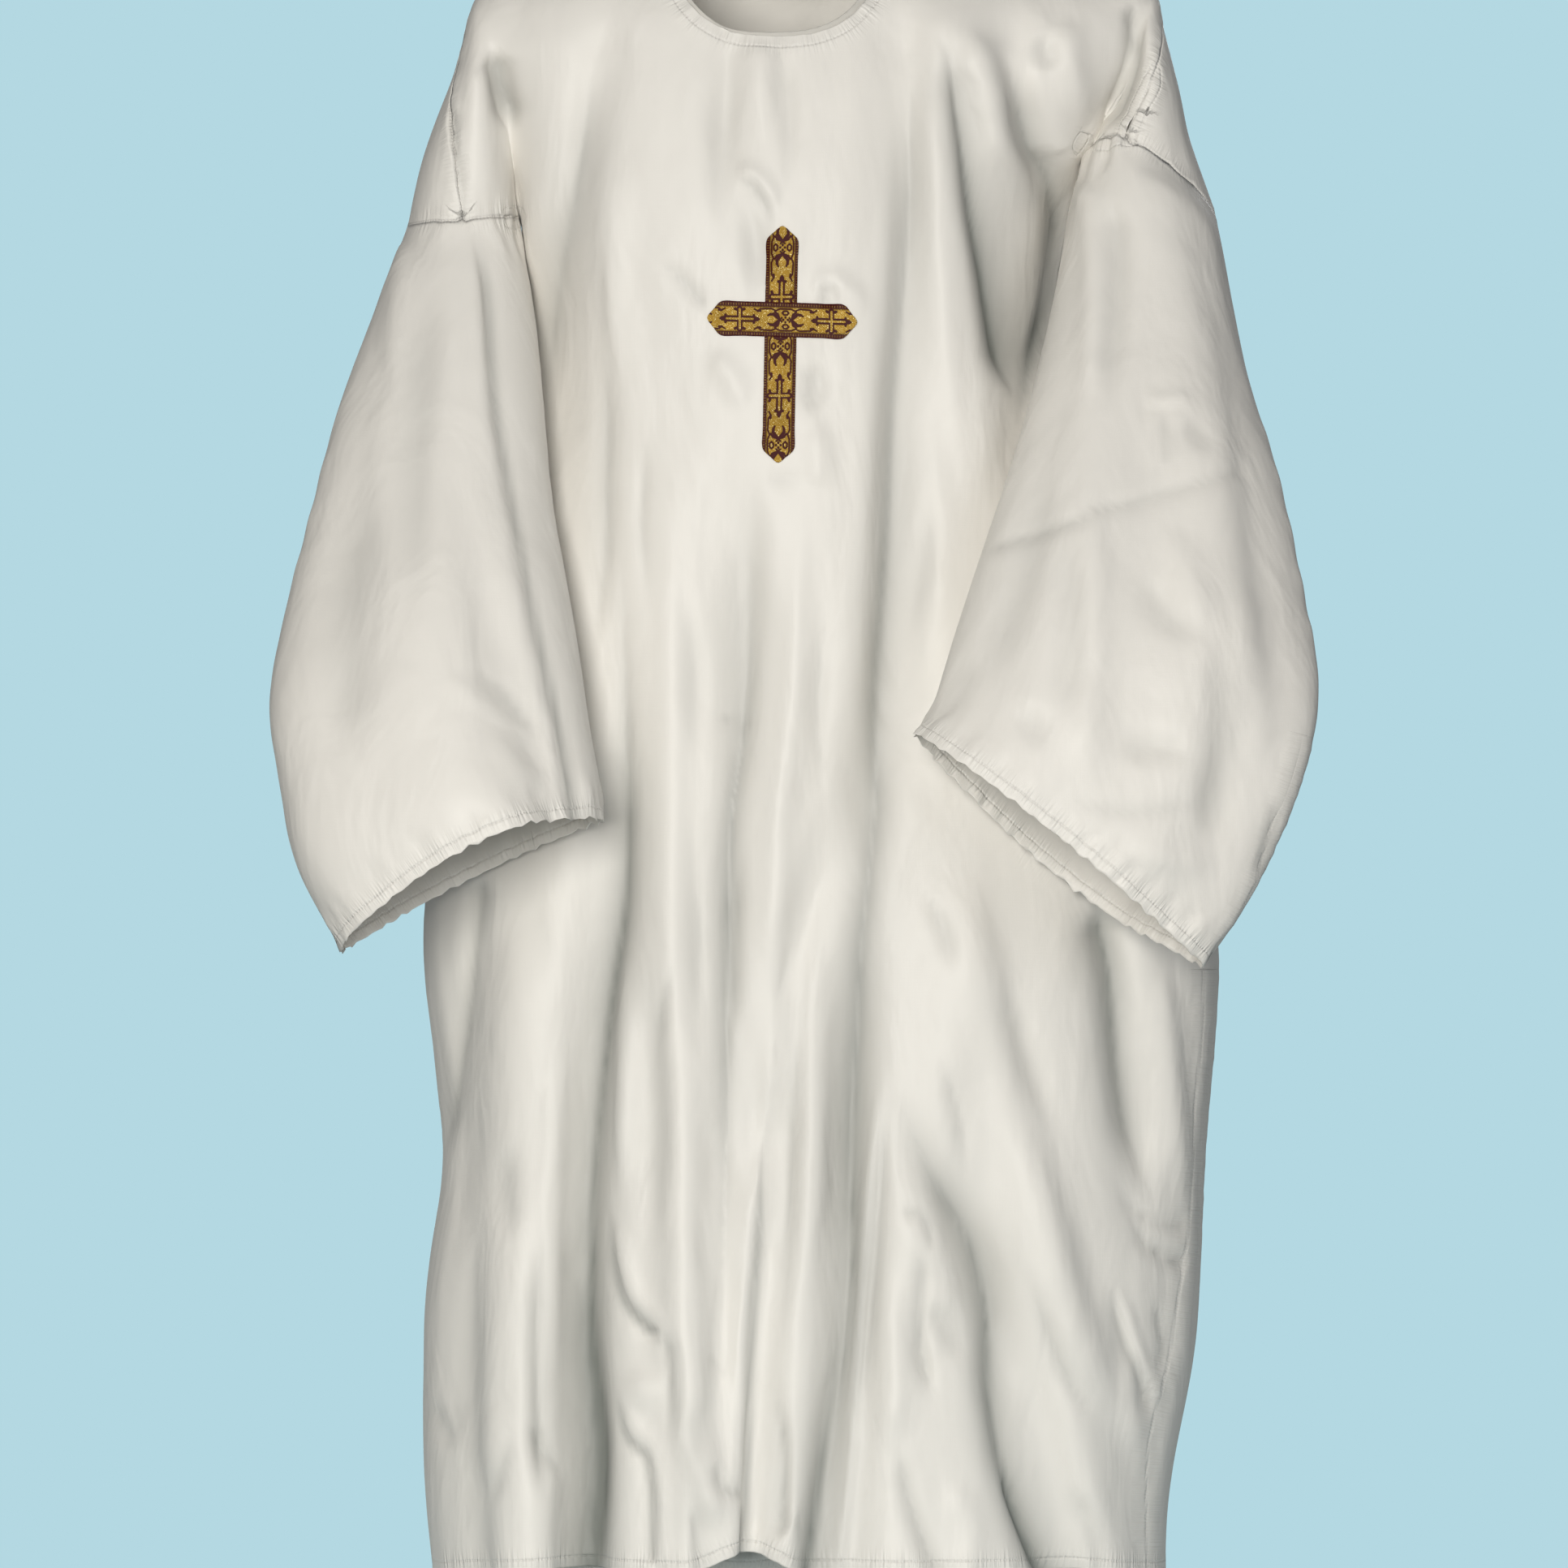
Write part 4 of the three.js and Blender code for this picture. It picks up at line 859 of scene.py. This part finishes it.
FRAME = [
    # The line that frames a knot, with a cusp and a scroll at its end
    ((9.2, 0.0), (9.2, 5.0), 0.4),
    ((9.2, 5.0), (7.6, 9.0), 0.4),
    ((7.6, 9.0), (9.3, 13.0), 0.4),
    ((9.3, 13.0), (8.8, 23.0), 0.4),
    ((8.8, 23.0), (7.0, 25.5), 0.4),
    ((7.0, 25.5), (7.2, 23.0), 0.7),
    ((7.0, 25.5), (8.6, 28.5), 0.4),
]
CROSS = [
    ((0.0, 42.0), (0.0, 29.0), 2.4),
    ((0.0, 29.0), (0.0, 26.0), 1.6),
    ((0.0, 26.0), (0.0, 24.2), 0.6),
    ((0.0, 30.0), (3.0, 29.0), 0.9),
    ((0.0, 42.0), (8.6, 42.0), 2.3),
    ((7.6, 40.0), (8.4, 37.6), 0.9),
]
CROSS_HEART = [
    ((0.0, 42.0), (0.0, 30.0), 0.7),
    ((0.0, 42.0), (8.0, 42.0), 0.8),
]
DOTS = [((5.8, 0.0), (5.8, 0.6), 0.6)]


def strokes(tree, place, table):
    """1 on any of the strokes and 0 beside them."""
    nearest = 9.0
    for start, end, half in table:
        step = Vector((end[0] - start[0], end[1] - start[1], 0))
        rel = add(tree, "VectorMath", {0: place, 1: (*start, 0)}, operation="SUBTRACT").outputs[0]
        dot = add(tree, "VectorMath", {0: rel, 1: step / step.length_squared}, operation="DOT_PRODUCT")
        share = add(tree, "Clamp", {"Value": dot.outputs["Value"]}).outputs[0]
        reach = add(tree, "VectorMath", {0: step, "Scale": share}, operation="SCALE").outputs[0]
        gap = add(tree, "VectorMath", {0: rel, 1: reach}, operation="DISTANCE").outputs["Value"]
        nearest = sums(tree, "MINIMUM", sums(tree, "SUBTRACT", gap, half), nearest)
    return add(tree, "MapRange", {"Value": nearest, "From Min": 0.45, "From Max": 0.1}).outputs[0]


def galloon_figures(tree, run, aside, repeat):
    """1 where the burgundy silk shows: the figures, the line beside the selvedge and the selvedge."""
    place = add(tree, "CombineXYZ", {0: aside, 1: repeat}).outputs[0]
    figures = strokes(tree, place, KNOT + FRAME + CROSS)
    figures = sums(tree, "SUBTRACT", figures, strokes(tree, place, CROSS_HEART + DOTS))
    edge = add(tree, "MapRange", {"Value": aside, "From Min": 10.5, "From Max": 10.9}).outputs[0]
    line = sums(tree, "MULTIPLY", bell(tree, aside, 10.2, 0.25), 0.6)
    # Picots: gold threads that cross the selvedge every 2.2 mm
    picot = bell(tree, sums(tree, "PINGPONG", run, 1.1), 0.0, 0.35)
    picots = sums(tree, "MULTIPLY", picot, bell(tree, aside, 12.6, 0.9))
    silk = sums(tree, "MAXIMUM", sums(tree, "MAXIMUM", figures, edge), line)
    return add(tree, "Clamp", {"Value": sums(tree, "MULTIPLY_ADD", picots, -0.7, silk)}).outputs[0]


def gold_galloon(name, run_axis, side_axis, knot, middle, lean, stretch):
    """Jacquard galloon: a gold lurex ground with burgundy silk figures and selvedges, and a painted
    highlight: glints of pale gold painted into its colour thread by thread. `knot` and `middle` are
    the place of a knot and of the strip's middle in millimetres, and `lean` how far the middle moves
    to the side along the strip."""
    material, tree = new_material(name)
    here = add(tree, "TexCoord").outputs["Object"]
    axes = add(tree, "SeparateXYZ", {0: here})
    run = sums(tree, "MULTIPLY_ADD", axes.outputs[run_axis], 1 / MM, -knot)
    off = sums(tree, "MULTIPLY_ADD", axes.outputs[side_axis], 1 / MM, -middle)
    aside = sums(tree, "ABSOLUTE", sums(tree, "MULTIPLY_ADD", run, -lean, off))
    stretched = sums(tree, "ABSOLUTE", sums(tree, "MULTIPLY", run, stretch))
    repeat = sums(tree, "PINGPONG", stretched, HALF_REPEAT)
    silk = galloon_figures(tree, run, aside, repeat)

    # Threads: ribs across the strip, 0.5 mm apart, drawn 0.9 mm apart, and a slanting twill of 2.2 mm
    # by the crosses
    ribs = sums(tree, "SINE", sums(tree, "MULTIPLY", run, 2 * math.pi / 0.9))
    slant = sums(tree, "SINE", sums(tree, "MULTIPLY", sums(tree, "ADD", run, off), 2 * math.pi / 2.2))
    twill = sums(tree, "MULTIPLY", slant, rise_node(tree, repeat, 24.0, 30.0))
    # Painted highlight: specks of pale gold mixed into the colour, standing in for light glinting off
    # single threads
    highlight_noise = add(tree, "TexNoise", {"Vector": here, "Scale": 1400.0, "Detail": 1.0}).outputs["Fac"]
    painted_glints = rise_node(tree, highlight_noise, 0.62, 0.7)
    worn = add(tree, "TexNoise", {"Vector": here, "Scale": 60.0, "Detail": 2.0}).outputs["Fac"]
    tone = sums(tree, "MULTIPLY_ADD", twill, 0.22, worn)
    colour = linear("#6E5212")
    for share, over in ((tone, "#B08C36"), (painted_glints, "#EBDCA0"), (silk, "#3E0407")):
        colour = add(tree, "Mix", {0: share, 6: colour, 7: linear(over)}, data_type="RGBA").outputs[2]

    height = sums(tree, "MULTIPLY_ADD", silk, 0.25, sums(tree, "MULTIPLY", ribs, 0.06))
    bump = add(tree, "Bump", {"Height": height, "Strength": 0.8, "Distance": MM}).outputs[0]
    finish_material(tree, {
        "Base Color": colour,
        "Roughness": 0.45,
        "Specular IOR Level": 0.18,
        "Metallic": sums(tree, "MULTIPLY_ADD", silk, -0.45, 0.45),
        "Normal": bump,
    })
    return material


# ------------------------------
# The pieces
# The grey that is painted into the creases as shade
PAINTED_SHADE_COLOUR = "#868984"
white = poplin("white_poplin", "#F3F0EA", PAINTED_SHADE_COLOUR)
# The neck facing is the same white poplin in a darker grey: painted shade, for the shade that falls on
# the turned facing
facing_cloth = poplin("facing_poplin_painted_shade", "#DAD7D0", PAINTED_SHADE_COLOUR)

# The pieces, each thickened into a wall; each galloon strip is listed with its flat cut in metres
garment = dress()
for number, node in enumerate(CLOTH_PIECES):
    name = node + "_cloth"
    piece = add_piece(part_off(garment, number, name), name, node, white)
    thicken(piece, CLOTH_THICKNESS)
bpy.data.meshes.remove(garment)

strips = {
    "cross_upright": (
        (0.028, 0.2025), gold_galloon("gold_galloon_upright", "Z", "X", -380, -2.3, 0.022, 1.0)
    ),
    "cross_bar": (
        (0.0296, 0.128), gold_galloon("gold_galloon_bar", "X", "Z", 2, -357.7, -0.032, 1.08)
    ),
}
for node, (flat, galloon) in strips.items():
    name = node + "_galloon"
    strip = add_piece(laid_strip(node, name), name, node, galloon)
    thicken(strip, GALLOON_THICKNESS)

facing = add_piece(
    plain_facing("neck_facing_cloth"), "neck_facing_cloth", "neck_facing", facing_cloth
)
thicken(facing, FACING_THICKNESS)


# ------------------------------
# Camera, light and ground
def area_light(name, place, target, size, power, colour):
    data = bpy.data.lights.new(name, "AREA")
    data.shape = "DISK"
    data.size = size
    data.energy = power
    data.color = linear(colour)[:3]
    lamp = bpy.data.objects.new(name, data)
    lamp.location = place
    lamp.rotation_euler = (Vector(target) - Vector(place)).to_track_quat("-Z", "Y").to_euler()
    bpy.context.scene.collection.objects.link(lamp)


# Where each light stands, what it points at, its size, power and colour
LIGHTS = {
    "key": ((-0.9, -6.0, -0.1), (0, 0, -0.75), 2.2, 290, "#FFFCF6"),
    "fill": ((3.4, -3.6, -0.4), (0, 0, -0.8), 2.4, 20, "#F4F8FF"),
    "back": ((0.5, 4.0, 1.4), (0, 0, -0.7), 2.5, 120, "#FFFFFF"),
}
ROOM_STRENGTH = 0.16
FLOOR_RADIUS, FLOOR_Z = 1.25, -1.6


def set_the_camera():
    scene = bpy.context.scene
    camera_data = bpy.data.cameras.new("camera")
    camera_data.sensor_width = SENSOR_WIDTH
    camera_data.lens = SENSOR_WIDTH * VIEW_DISTANCE / VIEW_WIDTH
    camera_data.clip_end = 60
    camera = bpy.data.objects.new("camera", camera_data)
    camera.location = (VIEW_ASIDE, -VIEW_DISTANCE, VIEW_HEIGHT)
    camera.rotation_euler = (math.pi / 2, 0, 0)
    scene.collection.objects.link(camera)
    scene.camera = camera
    scene.view_settings.view_transform = "Standard"


def set_the_room():
    world = bpy.data.worlds.new("studio")
    world.use_nodes = True
    tree = world.node_tree
    tree.nodes.clear()
    room = add(tree, "Background", {"Color": linear("#EEF1F2"), "Strength": ROOM_STRENGTH})
    wall = add(tree, "Background", {"Color": linear("#B4D8E2"), "Strength": 1.0})
    seen = add(tree, "LightPath").outputs["Is Camera Ray"]
    both = add(tree, "MixShader", {0: seen, 1: room.outputs[0], 2: wall.outputs[0]})
    output = add(tree, "OutputWorld")
    tree.links.new(both.outputs[0], output.inputs["Surface"])
    bpy.context.scene.world = world


def lay_the_floor():
    bm = bmesh.new()
    bmesh.ops.create_circle(bm, cap_ends=True, radius=FLOOR_RADIUS, segments=96)
    bmesh.ops.translate(bm, verts=bm.verts, vec=(0, 0, FLOOR_Z))
    mesh = bpy.data.meshes.new("floor")
    bm.to_mesh(mesh)
    bm.free()
    floor_material, floor_tree = new_material("matt_floor")
    finish_material(floor_tree, {"Base Color": linear("#D5E4E8"), "Roughness": 0.9})
    mesh.materials.append(floor_material)
    floor = bpy.data.objects.new("floor", mesh)
    bpy.context.scene.collection.objects.link(floor)


set_the_camera()
for name, light in LIGHTS.items():
    area_light(name, *light)
set_the_room()
lay_the_floor()
